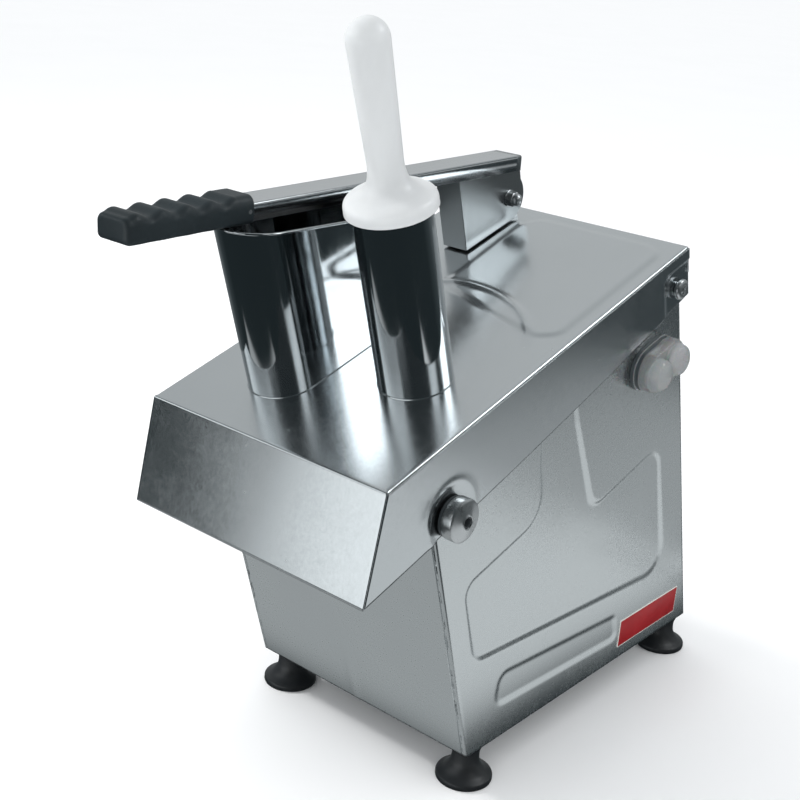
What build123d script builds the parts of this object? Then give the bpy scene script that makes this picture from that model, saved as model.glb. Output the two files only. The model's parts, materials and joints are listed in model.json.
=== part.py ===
from build123d import *
import math
import os

# Vegetable dicer: a floor-standing bench machine with a tilted cutting head.
# Everything square to the head is drawn in the "deck frame": X to the right, V back along the
# lid, N up and square to the lid, with its origin in the middle of the lid's front top edge.
# deck() turns a solid from the deck frame into the upright frame. Lengths are in millimetres.

# ---- driving dimensions ----
TILT = 17.635              # slope of the lid and of the whole cutting head
SHEET = 1.5                # stainless sheet of the casing
RUNNING_FIT = 0.05         # radial gap of a shaft in its bore
GAP = 0.3                  # gap between curved faces that move past each other

LID_WIDTH = 240.0
LID_LENGTH = 395.9
APRON_DEPTH = 74.6         # the lid's front, measured square to the lid
APRON_LEAN = 40.8          # how far the apron's lower edge leans forward
SKIRT_MIDDLE = (200.0, -63.5)
SKIRT_REAR_DEPTH = 46.5
LIP_DEPTH = 24.0           # the lid's short rear lip
LID_FOLD_R = 2.5

BODY_WIDTH = 235.0
BODY_FRONT_V = 42.8
BODY_REAR_V = 382.2
BODY_TOP_N = -12.0
BODY_BOTTOM_Z = -273.2
BODY_FOLD_R = 3.0
PRESS_DEPTH = 1.2          # depth of the pressed panels
FEET = [(x, y) for x in (-102.0, 102.0) for y in (152.5, 475.0)]
FOOT_HEIGHT = 35.0
FOOT_SCREW_R = 4.0
COVER_SCREWS = [(x, n) for x in (-106.0, 106.0) for n in (-70.0, -220.0, -370.0)]

TUBE_X, TUBE_V, TUBE_RADIUS, TUBE_TOP_N = 46.0, 120.0, 29.25, 141.5
INLET_LOW_N = -6.0         # both inlets reach this far through the lid
HOPPER_FLAT_X = -16.5      # the large hopper's straight wall
HOPPER_CORNER_R = 29.0
HOPPER_ROUND_R = 110.0
HOPPER_HALF_STRAIGHT = 53.0
HOPPER_RIM_N = 137.0       # rim height near the hopper's front

DISC_V = 124.0             # the cutting disc's centre
DISC_RADIUS = 102.5
DISC_TOP_N = -18.0
BLADE_ANGLES = (20.0, 140.0, 260.0)
CHAMBER_INNER_R = 106.0
CHAMBER_WALL = 4.0
CHAMBER_FLOOR_N = -60.0
DECK_PLATE_N = -64.0
SHAFT_R = 9.0
SEAL_SEAT_R = 16.0
BEARING_OUTER_R, BEARING_WIDTH = 20.0, 10.0
HOUSING_LENGTH = 44.0

PULLEY_N, PULLEY_WIDTH = -140.0, 16.0
BIG_PULLEY_R, SMALL_PULLEY_R = 75.0, 16.0
MOTOR_V, MOTOR_TOP_N = 285.0, -152.0
MOTOR_RADIUS, MOTOR_LENGTH = 62.0, 165.0
MOTOR_SHAFT_R = 7.0
MOTOR_BEARINGS = (-305.0, -168.0)
MOTOR_BEARING_WIDTH = 9.0
STUDS = [(x, v) for x in (-66.0, 66.0) for v in (222.0, 348.0)]
STUD_THREAD_R = 3.2

HINGE_V, HINGE_N = 377.7, -32.6
HINGE_BOLT_R, HINGE_THREAD_R = 4.0, 2.9
KNOB_V, KNOB_N, KNOB_R = 60.0, -60.5, 17.0
KNOB_STUD_R, KNOB_HOLE_R = 4.0, 5.0

PIVOT_V, PIVOT_N, PIVOT_R = 365.0, 24.0, 4.0
LUG_HALF = 10.0
CHEEK_FRONT_V, CHEEK_R = 299.6, 22.0
ARM_X, ARM_WIDTH, ARM_HEIGHT = -57.0, 30.0, 13.5
ARM_SLOPE = 16.36          # the lever's fall towards the rear, against the lid
ARM_TOP_N = 57.0           # arm's top face above the lid at its rear end
ARM_REAR_V = 386.0
GRIP_FRONT_V, GRIP_REAR_V = -38.5, 71.5
GRIP_WIDTH, GRIP_UNDER = 34.0, 15.0
GRIP_CREST, GRIP_WAVE = 6.0, 4.0
GRIP_WAVES, GRIP_PITCH = 5, 21.9
GRIP_PIN_R = 1.6
PLATE_LOW_N, PLATE_THICKNESS, PLATE_CLEAR = -5.0, 12.0, 6.0
PLATE_SWING = 8.0          # room behind the pusher plate for its swing
POST_V, POST_HALF = (107.0, 139.0), 9.0

SWITCH_V, SWITCH_N = 332.0, -81.0
SWITCH_LENGTH, SWITCH_HEIGHT = 62.0, 38.0
BUTTON_PITCH, BUTTON_R = 28.0, 10.0
BEZEL_THICKNESS, BOOT_FRAME, DOME_R = 4.0, 13.5, 15.5
GLAND_X, GLAND_N, GLAND_R = 60.0, -330.0, 10.0
LABEL_V, LABEL_N = 316.5, -360.0
LABEL_LENGTH, LABEL_HEIGHT = 105.0, 28.0

# ---- what follows from them ----
SKIRT_INNER_X = LID_WIDTH / 2 - SHEET
BODY_X = BODY_WIDTH / 2
BODY_INNER_X = BODY_X - SHEET
WASHER_FACE_X = LID_WIDTH / 2 + 0.2
BOOT_BASE_X = BODY_X + BEZEL_THICKNESS
ARM_INNER = ARM_WIDTH / 2 - SHEET
CHEEK_OUTER = ARM_INNER - 0.5
SIN_T = math.sin(math.radians(TILT))
COS_T = math.cos(math.radians(TILT))
ARM_RISE = math.tan(math.radians(ARM_SLOPE))

BASE = (Align.CENTER, Align.CENTER, Align.MIN)


def deck(shape):
    """From the deck frame to the upright frame."""
    return Rot(TILT, 0, 0) * shape


def post(x, v, n, radius, height):
    """A round bar standing along N from (x, v, n)."""
    return Pos(x, v, n) * Cylinder(radius, height, align=BASE)


def pin(x, v, n, radius, length):
    """A round bar lying along +X from (x, v, n)."""
    return Pos(x, v, n) * Rot(0, 90, 0) * Cylinder(radius, length, align=BASE)


def block(x, v, n):
    """A box given by its spans (low, high) on each axis."""
    size = [high - low for low, high in (x, v, n)]
    middle = [(high + low) / 2 for low, high in (x, v, n)]
    return Pos(*middle) * Box(*size)


def across(outline, x_low, x_high):
    """A (V, N) outline drawn on the YZ plane, made solid between two X stations."""
    return extrude(Plane.YZ.offset(x_low) * outline, x_high - x_low)


def polygon(points):
    return make_face(Polyline(*points, close=True))


def rounded_polygon(points, radii):
    """A closed outline with each corner rounded."""
    return make_face(FilletPolyline(*points, radius=radii, close=True))


def tube(x, v, n, outer, inner, height):
    return post(x, v, n, outer, height) - post(x, v, n - 1, inner, height + 2)


def ring_x(x, v, n, outer, inner, length):
    return pin(x, v, n, outer, length) - pin(x - 1, v, n, inner, length + 2)


def below(z_high):
    """A large block of everything under a level, in the upright frame."""
    return Pos(0, 300, z_high) * Box(600, 900, 400, align=(Align.CENTER, Align.CENTER, Align.MAX))


# ---- outlines ----

def hopper_outline(grow=0.0):
    """The large hopper's plan: a straight wall, two corner arcs and one wide arc."""
    corner_x = HOPPER_FLAT_X - HOPPER_CORNER_R
    wide_x = corner_x + math.sqrt((HOPPER_ROUND_R - HOPPER_CORNER_R) ** 2 - HOPPER_HALF_STRAIGHT ** 2)
    join = math.atan2(HOPPER_HALF_STRAIGHT, corner_x - wide_x)
    corner_r = HOPPER_CORNER_R + grow
    wide_r = HOPPER_ROUND_R + grow
    flat_x = HOPPER_FLAT_X + grow

    def on_corner(side, angle):
        x = corner_x + corner_r * math.cos(angle)
        return (x, DISC_V + side * (HOPPER_HALF_STRAIGHT + corner_r * math.sin(angle)))

    rear = on_corner(1, join)
    front = on_corner(-1, join)
    outline = Line((flat_x, DISC_V - HOPPER_HALF_STRAIGHT), (flat_x, DISC_V + HOPPER_HALF_STRAIGHT))
    outline += ThreePointArc((flat_x, DISC_V + HOPPER_HALF_STRAIGHT), on_corner(1, join / 2), rear)
    outline += ThreePointArc(rear, (wide_x - wide_r, DISC_V), front)
    outline += ThreePointArc(front, on_corner(-1, join / 2), (flat_x, DISC_V - HOPPER_HALF_STRAIGHT))
    return make_face(outline)


def lid_side_outline(inset=0.0, drop=0.0):
    """The lid's side view: top, leaning apron, long shallow arc of the lower edge."""
    lean = math.hypot(APRON_LEAN, APRON_DEPTH)
    top = -inset
    front_top = inset * (lean - APRON_LEAN) / APRON_DEPTH
    front_low = -APRON_LEAN + inset * lean / APRON_DEPTH
    rear = LID_LENGTH - inset
    if drop:
        low = -APRON_DEPTH - drop
        front_low -= APRON_LEAN * drop / APRON_DEPTH
        return polygon([(front_top, top), (rear, top), (rear, low), (front_low, low)])
    outline = Polyline((front_low, -APRON_DEPTH), (front_top, top), (rear, top), (rear, -SKIRT_REAR_DEPTH))
    outline += ThreePointArc((rear, -SKIRT_REAR_DEPTH), SKIRT_MIDDLE, (front_low, -APRON_DEPTH))
    return make_face(outline)


def recess_outline(grow=0.0):
    """The pressed panel in each side of the body, running up behind the lid's skirt."""
    points = [(182, -45), (173, -90), (170, -137), (67, -137), (67, -214), (345, -321),
              (345, -177), (238, -177), (225, -80), (223, -45)]
    radii = [0, 40, 26, 14, 18, 22, 20, 18, 40, 0]
    face = rounded_polygon(points, radii)
    return offset(face, grow, kind=Kind.INTERSECTION) if grow else face


def lower_rib_outline(grow=0.0):
    """The slim pressed band under the main recess."""
    fall = math.tan(math.radians(TILT + 4.2))
    start, end, half = 96.0, 262.0, 13.5
    points = [(start, -265 + half), (end, -265 + half - (end - start) * fall),
              (end, -265 - half - (end - start) * fall), (start - 12, -265 - half)]
    face = rounded_polygon(points, [11, 6, 6, 11])
    return offset(face, grow, kind=Kind.INTERSECTION) if grow else face


def stadium(length, height):
    return SlotOverall(length, height)


# ---- casing ----

def pressed_panel(side):
    """One pressed side of the body: pads inside, pockets outside, the same sheet throughout."""
    inner = side * BODY_INNER_X
    pads = []
    pockets = []
    for outline in (recess_outline, lower_rib_outline):
        pad_far = inner - side * PRESS_DEPTH
        pads.append(across(outline(SHEET), min(inner, pad_far), max(inner, pad_far)))
        face = side * BODY_X
        pocket_far = face - side * PRESS_DEPTH
        pockets.append(across(outline(), min(face, pocket_far), max(face, pocket_far)))
    return pads, pockets


def make_body_wrap():
    """Front and both sides of the body, folded from one sheet, square to the deck."""
    length = BODY_REAR_V - BODY_FRONT_V
    outer = block((-BODY_X, BODY_X), (BODY_FRONT_V, BODY_REAR_V), (-440, BODY_TOP_N))
    folds = [e for e in outer.edges().filter_by(Axis.Z) if e.center().Y < BODY_FRONT_V + 1]
    outer = fillet(folds, BODY_FOLD_R)
    inner = block((-BODY_INNER_X, BODY_INNER_X), (BODY_FRONT_V + SHEET, BODY_REAR_V + length), (-441, 1))
    inner_folds = [e for e in inner.edges().filter_by(Axis.Z) if e.center().Y < BODY_REAR_V]
    wrap = outer - fillet(inner_folds, BODY_FOLD_R - SHEET)
    for side in (-1, 1):
        pads, pockets = pressed_panel(side)
        for pad in pads:
            wrap += pad
        for pocket in pockets:
            wrap -= pocket
    front_mouth = block((-BODY_X + 4, BODY_X - 4), (0, BODY_FRONT_V + 10), (CHAMBER_FLOOR_N, 10))
    wrap -= front_mouth
    wrap -= pin(BODY_X - 10, KNOB_V, KNOB_N, KNOB_HOLE_R, 20)
    for side in (-1, 1):
        wrap -= pin(side * BODY_X - 10, HINGE_V, HINGE_N, HINGE_BOLT_R + GAP, 20)
    hole = across(Pos(SWITCH_V, SWITCH_N) * stadium(SWITCH_LENGTH - 14, SWITCH_HEIGHT - 10), 100, 130)
    wrap -= hole
    return deck(wrap) - below(BODY_BOTTOM_Z)


def make_rear_cover():
    """Rear wall with ventilation slots and the cord inlet's hole."""
    wall = block((-BODY_INNER_X, BODY_INNER_X), (BODY_REAR_V - SHEET, BODY_REAR_V), (-440, BODY_TOP_N))
    for row in range(6):
        slot = Rot(90, 0, 0) * extrude(SlotOverall(110, 5), 20, both=True)
        slot = Pos(0, BODY_REAR_V, -150 - 14 * row) * slot
        wall -= slot
    wall -= Pos(GLAND_X, BODY_REAR_V, GLAND_N) * Rot(90, 0, 0) * Cylinder(GLAND_R, 20)
    for x, n in COVER_SCREWS:
        wall -= Pos(x, BODY_REAR_V, n) * Rot(90, 0, 0) * Cylinder(2.2, 20)
    return deck(wall) - below(BODY_BOTTOM_Z)


def make_rear_screws():
    """Pan-head screws of the rear cover."""
    screws = []
    for x, n in COVER_SCREWS:
        axis = Pos(x, BODY_REAR_V, n) * Rot(-90, 0, 0)
        head = axis * Cylinder(4.2, 2.6, align=BASE)
        head = fillet(head.edges().sort_by(Axis.Y)[-1], 1.2)
        shank = Pos(x, BODY_REAR_V, n) * Rot(90, 0, 0) * Cylinder(2.0, 9, align=BASE)
        screws.append(deck(head + shank))
    return Compound(children=screws)


def level_y(v, level):
    """Where a wall square to the deck, at V = v, stands at a level of the upright frame."""
    return (v - level * SIN_T) / COS_T


def make_bottom_plate():
    """Level floor of the body, which the feet screw into."""
    top = BODY_BOTTOM_Z + 2
    front = level_y(BODY_FRONT_V + SHEET + 0.5, BODY_BOTTOM_Z)
    rear = level_y(BODY_REAR_V - SHEET - 0.5, top)
    plate = block((-BODY_INNER_X, BODY_INNER_X), (front, rear), (BODY_BOTTOM_Z, top))
    plate = fillet([e for e in plate.edges().filter_by(Axis.Z) if e.center().Y < front + 1], BODY_FOLD_R)
    for x, y in FEET:
        plate -= Pos(x, y, BODY_BOTTOM_Z) * Cylinder(FOOT_SCREW_R, 20)
    for row in range(5):
        plate -= Pos(0, 270 + 16 * row, BODY_BOTTOM_Z) * extrude(SlotOverall(90, 6), 10, both=True)
    return plate


def make_foot(x, y):
    """Rubber foot: a stem that flares into a wide suction lip."""
    top = FOOT_HEIGHT
    outline = Polyline((0, 3), (0, top), (13.5, top), (13.5, top - 3))
    outline += ThreePointArc((13.5, top - 3), (11.4, top - 12), (12.6, top - 20))
    outline += ThreePointArc((12.6, top - 20), (16.6, 8.0), (23.6, 4.6))
    outline += Polyline((23.6, 4.6), (24.0, 0), (20.0, 0), (15.0, 3), (0, 3))
    body = revolve(Plane.XZ * make_face(outline), Axis.Z)
    body -= Pos(0, 0, top - 14) * Cylinder(FOOT_SCREW_R, 20, align=BASE)
    return Pos(x, y, BODY_BOTTOM_Z - FOOT_HEIGHT) * body


def make_foot_screws():
    """Screws from inside the body down into each foot, with wide heads."""
    screws = []
    for x, y in FEET:
        shank = Pos(x, y, BODY_BOTTOM_Z - 13.5) * Cylinder(FOOT_SCREW_R, 13.5 + 2, align=BASE)
        head = Pos(x, y, BODY_BOTTOM_Z + 2) * extrude(RegularPolygon(6.6, 6), 5)
        screws.append(shank + head)
    return Compound(children=screws)


# ---- cutting chamber and what carries the disc ----

def make_cutting_chamber():
    """Cast bowl round the disc, open towards the chute in front."""
    top = BODY_TOP_N - 2
    bowl = post(0, DISC_V, CHAMBER_FLOOR_N, CHAMBER_INNER_R + CHAMBER_WALL, top - CHAMBER_FLOOR_N)
    bowl -= post(0, DISC_V, CHAMBER_FLOOR_N + CHAMBER_WALL, CHAMBER_INNER_R, 100)
    bowl -= block((-200, 200), (-200, BODY_FRONT_V + SHEET + 0.5), (-200, 50))
    bowl += post(0, DISC_V, CHAMBER_FLOOR_N, 22, 10)
    bowl -= post(0, DISC_V, CHAMBER_FLOOR_N - 1, SEAL_SEAT_R, 60)
    return deck(bowl)


def make_shaft_seal():
    """Lip seal between the chamber's boss and the shaft."""
    seal = tube(0, DISC_V, CHAMBER_FLOOR_N + 1, SEAL_SEAT_R, SHAFT_R + RUNNING_FIT, 8)
    return deck(seal)


def make_deck_plate():
    """Sheet deck under the chamber, held between the body's pressed sides."""
    half = BODY_INNER_X - PRESS_DEPTH
    front = BODY_FRONT_V + SHEET + 0.5
    plate = block((-half, half), (front, BODY_REAR_V - 2), (DECK_PLATE_N, CHAMBER_FLOOR_N))
    plate -= post(0, DISC_V, -100, BEARING_OUTER_R + 5, 80)
    for x, v in STUDS:
        plate -= post(x, v, -100, STUD_THREAD_R, 80)
    for side in (-1, 1):
        plate -= block(sorted((side * 100, side * 200)), (HINGE_V - 11, 500), (-100, 0))
    plate -= block((BODY_INNER_X - 14, 200), (KNOB_V - 11, KNOB_V + 11), (-100, 0))
    return deck(plate)


def make_bearing_housing():
    """Flanged sleeve that holds the drive shaft's two bearings under the deck."""
    low = DECK_PLATE_N - HOUSING_LENGTH
    body = post(0, DISC_V, low, BEARING_OUTER_R + 5, HOUSING_LENGTH + 4)
    body += post(0, DISC_V, DECK_PLATE_N - 6, 40, 6)
    body -= post(0, DISC_V, low - 1, SHAFT_R + 4, HOUSING_LENGTH + 20)
    body -= post(0, DISC_V, low - 1, BEARING_OUTER_R, BEARING_WIDTH + 1)
    body -= post(0, DISC_V, CHAMBER_FLOOR_N - BEARING_WIDTH, BEARING_OUTER_R, BEARING_WIDTH + 5)
    for index in range(4):
        angle = math.radians(45 + 90 * index)
        body -= post(33 * math.cos(angle), DISC_V + 33 * math.sin(angle), low, 3.0, 100)
    return deck(body)


def make_bearings():
    """The shaft's two ball bearings, each as one closed ring."""
    low = DECK_PLATE_N - HOUSING_LENGTH
    rings = []
    for n in (low, CHAMBER_FLOOR_N - BEARING_WIDTH):
        ring = tube(0, DISC_V, n, BEARING_OUTER_R, SHAFT_R + RUNNING_FIT, BEARING_WIDTH)
        groove = Pos(0, DISC_V, n + BEARING_WIDTH) * (
            Cylinder(BEARING_OUTER_R - 3.5, 1.2) - Cylinder(SHAFT_R + 3.5, 1.2))
        rings.append(deck(ring - groove))
    return Compound(children=rings)


# ---- rotor: everything that turns with the disc ----

def make_drive_shaft():
    """Stepped shaft with a threaded nose for the disc's clamping nut."""
    low = PULLEY_N - 2
    shaft = post(0, DISC_V, low, SHAFT_R, DISC_TOP_N - 30 - low)
    shaft += post(0, DISC_V, DISC_TOP_N - 30, SHAFT_R - 1, 34)
    shaft += post(0, DISC_V, DISC_TOP_N + 4, SHAFT_R - 3, 4)
    return deck(shaft)


def belt_pulley(x, v, radius, bore, spokes):
    """Ribbed belt pulley with a hub; large ones have lightening holes."""
    wheel = post(x, v, PULLEY_N, radius, PULLEY_WIDTH)
    for rib in range(5):
        n = PULLEY_N + 3 + rib * 2.5
        wheel -= tube(x, v, n - 0.5, radius + 1, radius - 1.0, 1.0)
    wheel += post(x, v, PULLEY_N - 1.5, radius + 2.0, 1.5)
    wheel += post(x, v, PULLEY_N + PULLEY_WIDTH, radius + 2.0, 1.5)
    if spokes:
        wheel -= tube(x, v, PULLEY_N + 10, radius - 9, bore + 10, 20)
        wheel -= tube(x, v, PULLEY_N - 14, radius - 9, bore + 10, 20)
        for index in range(spokes):
            angle = 2 * math.pi * index / spokes
            middle = (radius - 9 + bore + 10) / 2
            wheel -= post(x + middle * math.cos(angle), v + middle * math.sin(angle), PULLEY_N - 20, 12, 60)
    wheel -= post(x, v, PULLEY_N - 30, bore, 80)
    return deck(wheel)


def make_ejector_plate():
    """Plate under the disc whose vanes throw the cut pieces out through the chute."""
    base_n = CHAMBER_FLOOR_N + 12
    plate = post(0, DISC_V, base_n, DISC_RADIUS - 2.5, 3)
    plate += post(0, DISC_V, base_n, 20, 16)
    for index in range(6):
        vane = Pos(60, 0, base_n + 3) * Box(74, 3, 13, align=BASE)
        plate += Pos(0, DISC_V, 0) * Rot(0, 0, 60 * index) * vane
    plate -= post(0, DISC_V, -100, SHAFT_R - 1, 150)
    return deck(plate)


def make_slicing_disc():
    """Slicing disc: a thin plate with a rolled rim and three blade windows."""
    disc = post(0, DISC_V, DISC_TOP_N - 3, DISC_RADIUS, 3)
    disc += tube(0, DISC_V, DISC_TOP_N - 9, DISC_RADIUS, DISC_RADIUS - 2, 9)
    disc += post(0, DISC_V, DISC_TOP_N - 14, 22, 14)
    for angle in BLADE_ANGLES:
        window = Pos(60, 9, DISC_TOP_N) * Box(70, 12, 30)
        disc -= Pos(0, DISC_V, 0) * Rot(0, 0, angle) * window
    disc -= post(0, DISC_V, -100, SHAFT_R - 1, 150)
    return deck(disc)


def make_disc_blades():
    """Three ground blades standing proud over the windows."""
    blades = []
    for angle in BLADE_ANGLES:
        section = polygon([(-6, 0), (8, 0), (6, 2.4), (3, 2.4), (-6, 0.8)])
        blade = across(section, 26, 94)
        blades.append(deck(Pos(0, DISC_V, DISC_TOP_N) * Rot(0, 0, angle) * blade))
    return Compound(children=blades)


def make_disc_nut():
    """Low round nut that clamps the disc on the shaft, with two flats for the hand."""
    nut = post(0, DISC_V, DISC_TOP_N, 13, 8)
    nut -= post(0, DISC_V, DISC_TOP_N - 1, SHAFT_R - 1, 5)
    nut -= post(0, DISC_V, DISC_TOP_N + 3, SHAFT_R - 3, 5.1)
    nut = chamfer(nut.edges().group_by(Axis.Z)[-1].sort_by(SortBy.RADIUS)[-1], 1.5)
    return deck(nut)


# ---- motor and belt ----

def make_motor_casing():
    """Finned round motor casing with a web for each of its two bearings."""
    low = MOTOR_TOP_N - MOTOR_LENGTH
    inner_r = MOTOR_RADIUS - 10
    casing = post(0, MOTOR_V, low, MOTOR_RADIUS - 6, MOTOR_LENGTH)
    for index in range(20):
        fin = Pos(MOTOR_RADIUS - 4, 0, low + 10) * Box(8, 2.2, MOTOR_LENGTH - 26, align=BASE)
        casing += Pos(0, MOTOR_V, 0) * Rot(0, 0, 18 * index) * fin
    casing -= post(0, MOTOR_V, low + 3, inner_r, MOTOR_LENGTH - 8)
    for n in MOTOR_BEARINGS:
        casing += tube(0, MOTOR_V, n, inner_r + 2, MOTOR_SHAFT_R + 9, MOTOR_BEARING_WIDTH)
    casing -= post(0, MOTOR_V, MOTOR_TOP_N - 8, MOTOR_SHAFT_R + 4, 40)
    return deck(casing)


def make_stator():
    """Wound stator core pressed into the casing."""
    low = MOTOR_TOP_N - MOTOR_LENGTH + 45
    return deck(tube(0, MOTOR_V, low, MOTOR_RADIUS - 10, 29, 80))


def make_motor_shaft():
    """Motor shaft with the rotor core on it."""
    low = MOTOR_TOP_N - MOTOR_LENGTH + 8
    shaft = post(0, MOTOR_V, low, MOTOR_SHAFT_R, PULLEY_N + PULLEY_WIDTH + 4 - low)
    shaft += post(0, MOTOR_V, MOTOR_TOP_N - MOTOR_LENGTH + 45, 28.5, 80)
    return deck(shaft)


def make_motor_bearings():
    """The motor's two end bearings."""
    rings = []
    for n in MOTOR_BEARINGS:
        ring = tube(0, MOTOR_V, n, MOTOR_SHAFT_R + 9, MOTOR_SHAFT_R + RUNNING_FIT, MOTOR_BEARING_WIDTH)
        rings.append(deck(ring))
    return Compound(children=rings)


def make_motor_plate():
    """Mounting plate that hangs the motor under the deck."""
    plate = block((-80, 80), (MOTOR_V - 77, MOTOR_V + 77), (MOTOR_TOP_N, MOTOR_TOP_N + 4))
    plate = fillet(plate.edges().filter_by(Axis.Z), 12)
    plate -= post(0, MOTOR_V, MOTOR_TOP_N - 1, 22, 10)
    for x, v in STUDS:
        plate -= post(x, v, MOTOR_TOP_N - 1, STUD_THREAD_R, 10)
    return deck(plate)


def make_standoffs():
    """Four long studs between the deck and the motor plate, with nuts."""
    studs = []
    for x, v in STUDS:
        low = MOTOR_TOP_N + 4
        stud = post(x, v, low, 6, DECK_PLATE_N - low)
        stud += post(x, v, MOTOR_TOP_N - 8, STUD_THREAD_R, 13)
        stud += Pos(x, v, MOTOR_TOP_N - 5) * extrude(RegularPolygon(6.2, 6), 5)
        stud += post(x, v, DECK_PLATE_N - 1, STUD_THREAD_R, 12)
        stud += Pos(x, v, CHAMBER_FLOOR_N) * extrude(RegularPolygon(6.2, 6), 4)
        studs.append(deck(stud))
    return Compound(children=studs)


def make_drive_belt():
    """Flat ribbed belt round both pulleys."""
    def loop(extra):
        big = BIG_PULLEY_R + extra
        small = SMALL_PULLEY_R + extra
        centres = MOTOR_V - DISC_V
        turn = math.acos((big - small) / centres)
        points = []
        for v, radius in ((DISC_V, big), (MOTOR_V, small)):
            points.append((radius * math.sin(turn), v + radius * math.cos(turn)))
        (bx, bv), (sx, sv) = points
        outline = Line((bx, bv), (sx, sv))
        outline += ThreePointArc((sx, sv), (0, MOTOR_V + small), (-sx, sv))
        outline += Line((-sx, sv), (-bx, bv))
        outline += ThreePointArc((-bx, bv), (0, DISC_V - big), (bx, bv))
        return make_face(outline)

    band = extrude(loop(GAP + 1.6) - loop(GAP), PULLEY_WIDTH - 1)
    return deck(Pos(0, 0, PULLEY_N + 0.5) * band)


def make_cooling_fan():
    """Fan on the motor shaft's lower end, inside the casing."""
    n = MOTOR_TOP_N - MOTOR_LENGTH + 24
    fan = post(0, MOTOR_V, n, 13, 10)
    for index in range(7):
        blade = Pos(28, 0, n) * Box(34, 2, 10, align=BASE)
        fan += Pos(0, MOTOR_V, 0) * Rot(0, 0, index * 360 / 7) * blade
    fan -= post(0, MOTOR_V, n - 1, MOTOR_SHAFT_R, 20)
    return deck(fan)


def make_run_capacitor():
    """Run capacitor with a ribbed cap, strapped to the left wall."""
    can = post(-88, 300, -330, 17, 70)
    can = fillet(can.edges().sort_by(Axis.Z)[0], 3)
    can += post(-88, 300, -260, 15, 6)
    return deck(can)


def make_capacitor_clip():
    """Sheet clip round the capacitor, screwed to the body's left wall."""
    clip = tube(-88, 300, -305, 18.5, 17.0, 16)
    clip += block((-BODY_INNER_X + PRESS_DEPTH, -104.5), (290, 310), (-305, -289))
    clip -= post(-88, 300, -310, 17.0, 40)
    return deck(clip)


def make_contactor_box():
    """Control box with the contactor and the brake module."""
    box = block((70, BODY_INNER_X - 6), (300, 372), (-252, -190))
    box = fillet(box.edges().filter_by(Axis.X), 4)
    for row in range(4):
        box -= block((69, 71.5), (306 + 15 * row, 314 + 15 * row), (-246, -196))
    box += block((BODY_INNER_X - 6, BODY_INNER_X - PRESS_DEPTH), (312, 328), (-240, -202))
    return deck(box)


# ---- switch ----

def make_switch_bezel():
    """Dark gasket and frame of the two-button switch on the right wall."""
    outline = Pos(SWITCH_V, SWITCH_N) * stadium(SWITCH_LENGTH, SWITCH_HEIGHT)
    hole = Pos(SWITCH_V, SWITCH_N) * stadium(SWITCH_LENGTH - 14, SWITCH_HEIGHT - 14)
    return deck(across(outline, BODY_X, BOOT_BASE_X) - across(hole, BODY_X - 1, BOOT_BASE_X + 1))


def switch_centres():
    return [(SWITCH_V - BUTTON_PITCH / 2, SWITCH_N), (SWITCH_V + BUTTON_PITCH / 2, SWITCH_N)]


def make_button_boot():
    """Clear silicone boot with a soft dome over each button."""
    outline = Pos(SWITCH_V, SWITCH_N) * stadium(SWITCH_LENGTH - 2, SWITCH_HEIGHT - 2)
    boot = across(outline, BOOT_BASE_X, BOOT_BASE_X + BOOT_FRAME)
    boot = fillet(boot.faces().sort_by(Axis.X)[-1].outer_wire().edges(), 3)
    cavity = across(Pos(SWITCH_V, SWITCH_N) * stadium(SWITCH_LENGTH - 10, SWITCH_HEIGHT - 10),
                    BOOT_BASE_X - 1, BOOT_BASE_X + BOOT_FRAME - 2)
    domes = []
    hollows = []
    for v, n in switch_centres():
        middle = Pos(BOOT_BASE_X + BOOT_FRAME - 6, v, n)
        domes.append(middle * Sphere(DOME_R))
        hollows.append(middle * Sphere(DOME_R - 1.8))
    keep = block((BOOT_BASE_X, 200), (0, 500), (-200, 0))
    for dome in domes:
        boot += dome & keep
    boot -= cavity
    for hollow in hollows:
        boot -= hollow & block((BOOT_BASE_X - 1, 200), (0, 500), (-200, 0))
    return deck(boot)


def make_switch_block():
    """Moulded switch body behind the wall, with guides for the two buttons."""
    hole = Pos(SWITCH_V, SWITCH_N) * stadium(SWITCH_LENGTH - 15, SWITCH_HEIGHT - 15)
    body = across(hole, BODY_X - 8, BOOT_BASE_X)
    body += block((BODY_X - 38, BODY_X - 8), (SWITCH_V - 28, SWITCH_V + 28), (SWITCH_N - 15, SWITCH_N + 15))
    for v, n in switch_centres():
        body -= pin(BODY_X - 14, v, n, BUTTON_R + GAP, 40)
    return deck(body)


def make_button(v, n, crown):
    """Push button: a round cap, slightly crowned or slightly raised."""
    cap = pin(BODY_X - 8, v, n, BUTTON_R, 20 + crown)
    cap = fillet(cap.edges().sort_by(Axis.X)[-1], 1.5)
    return deck(cap)


# ---- lid ----

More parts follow.
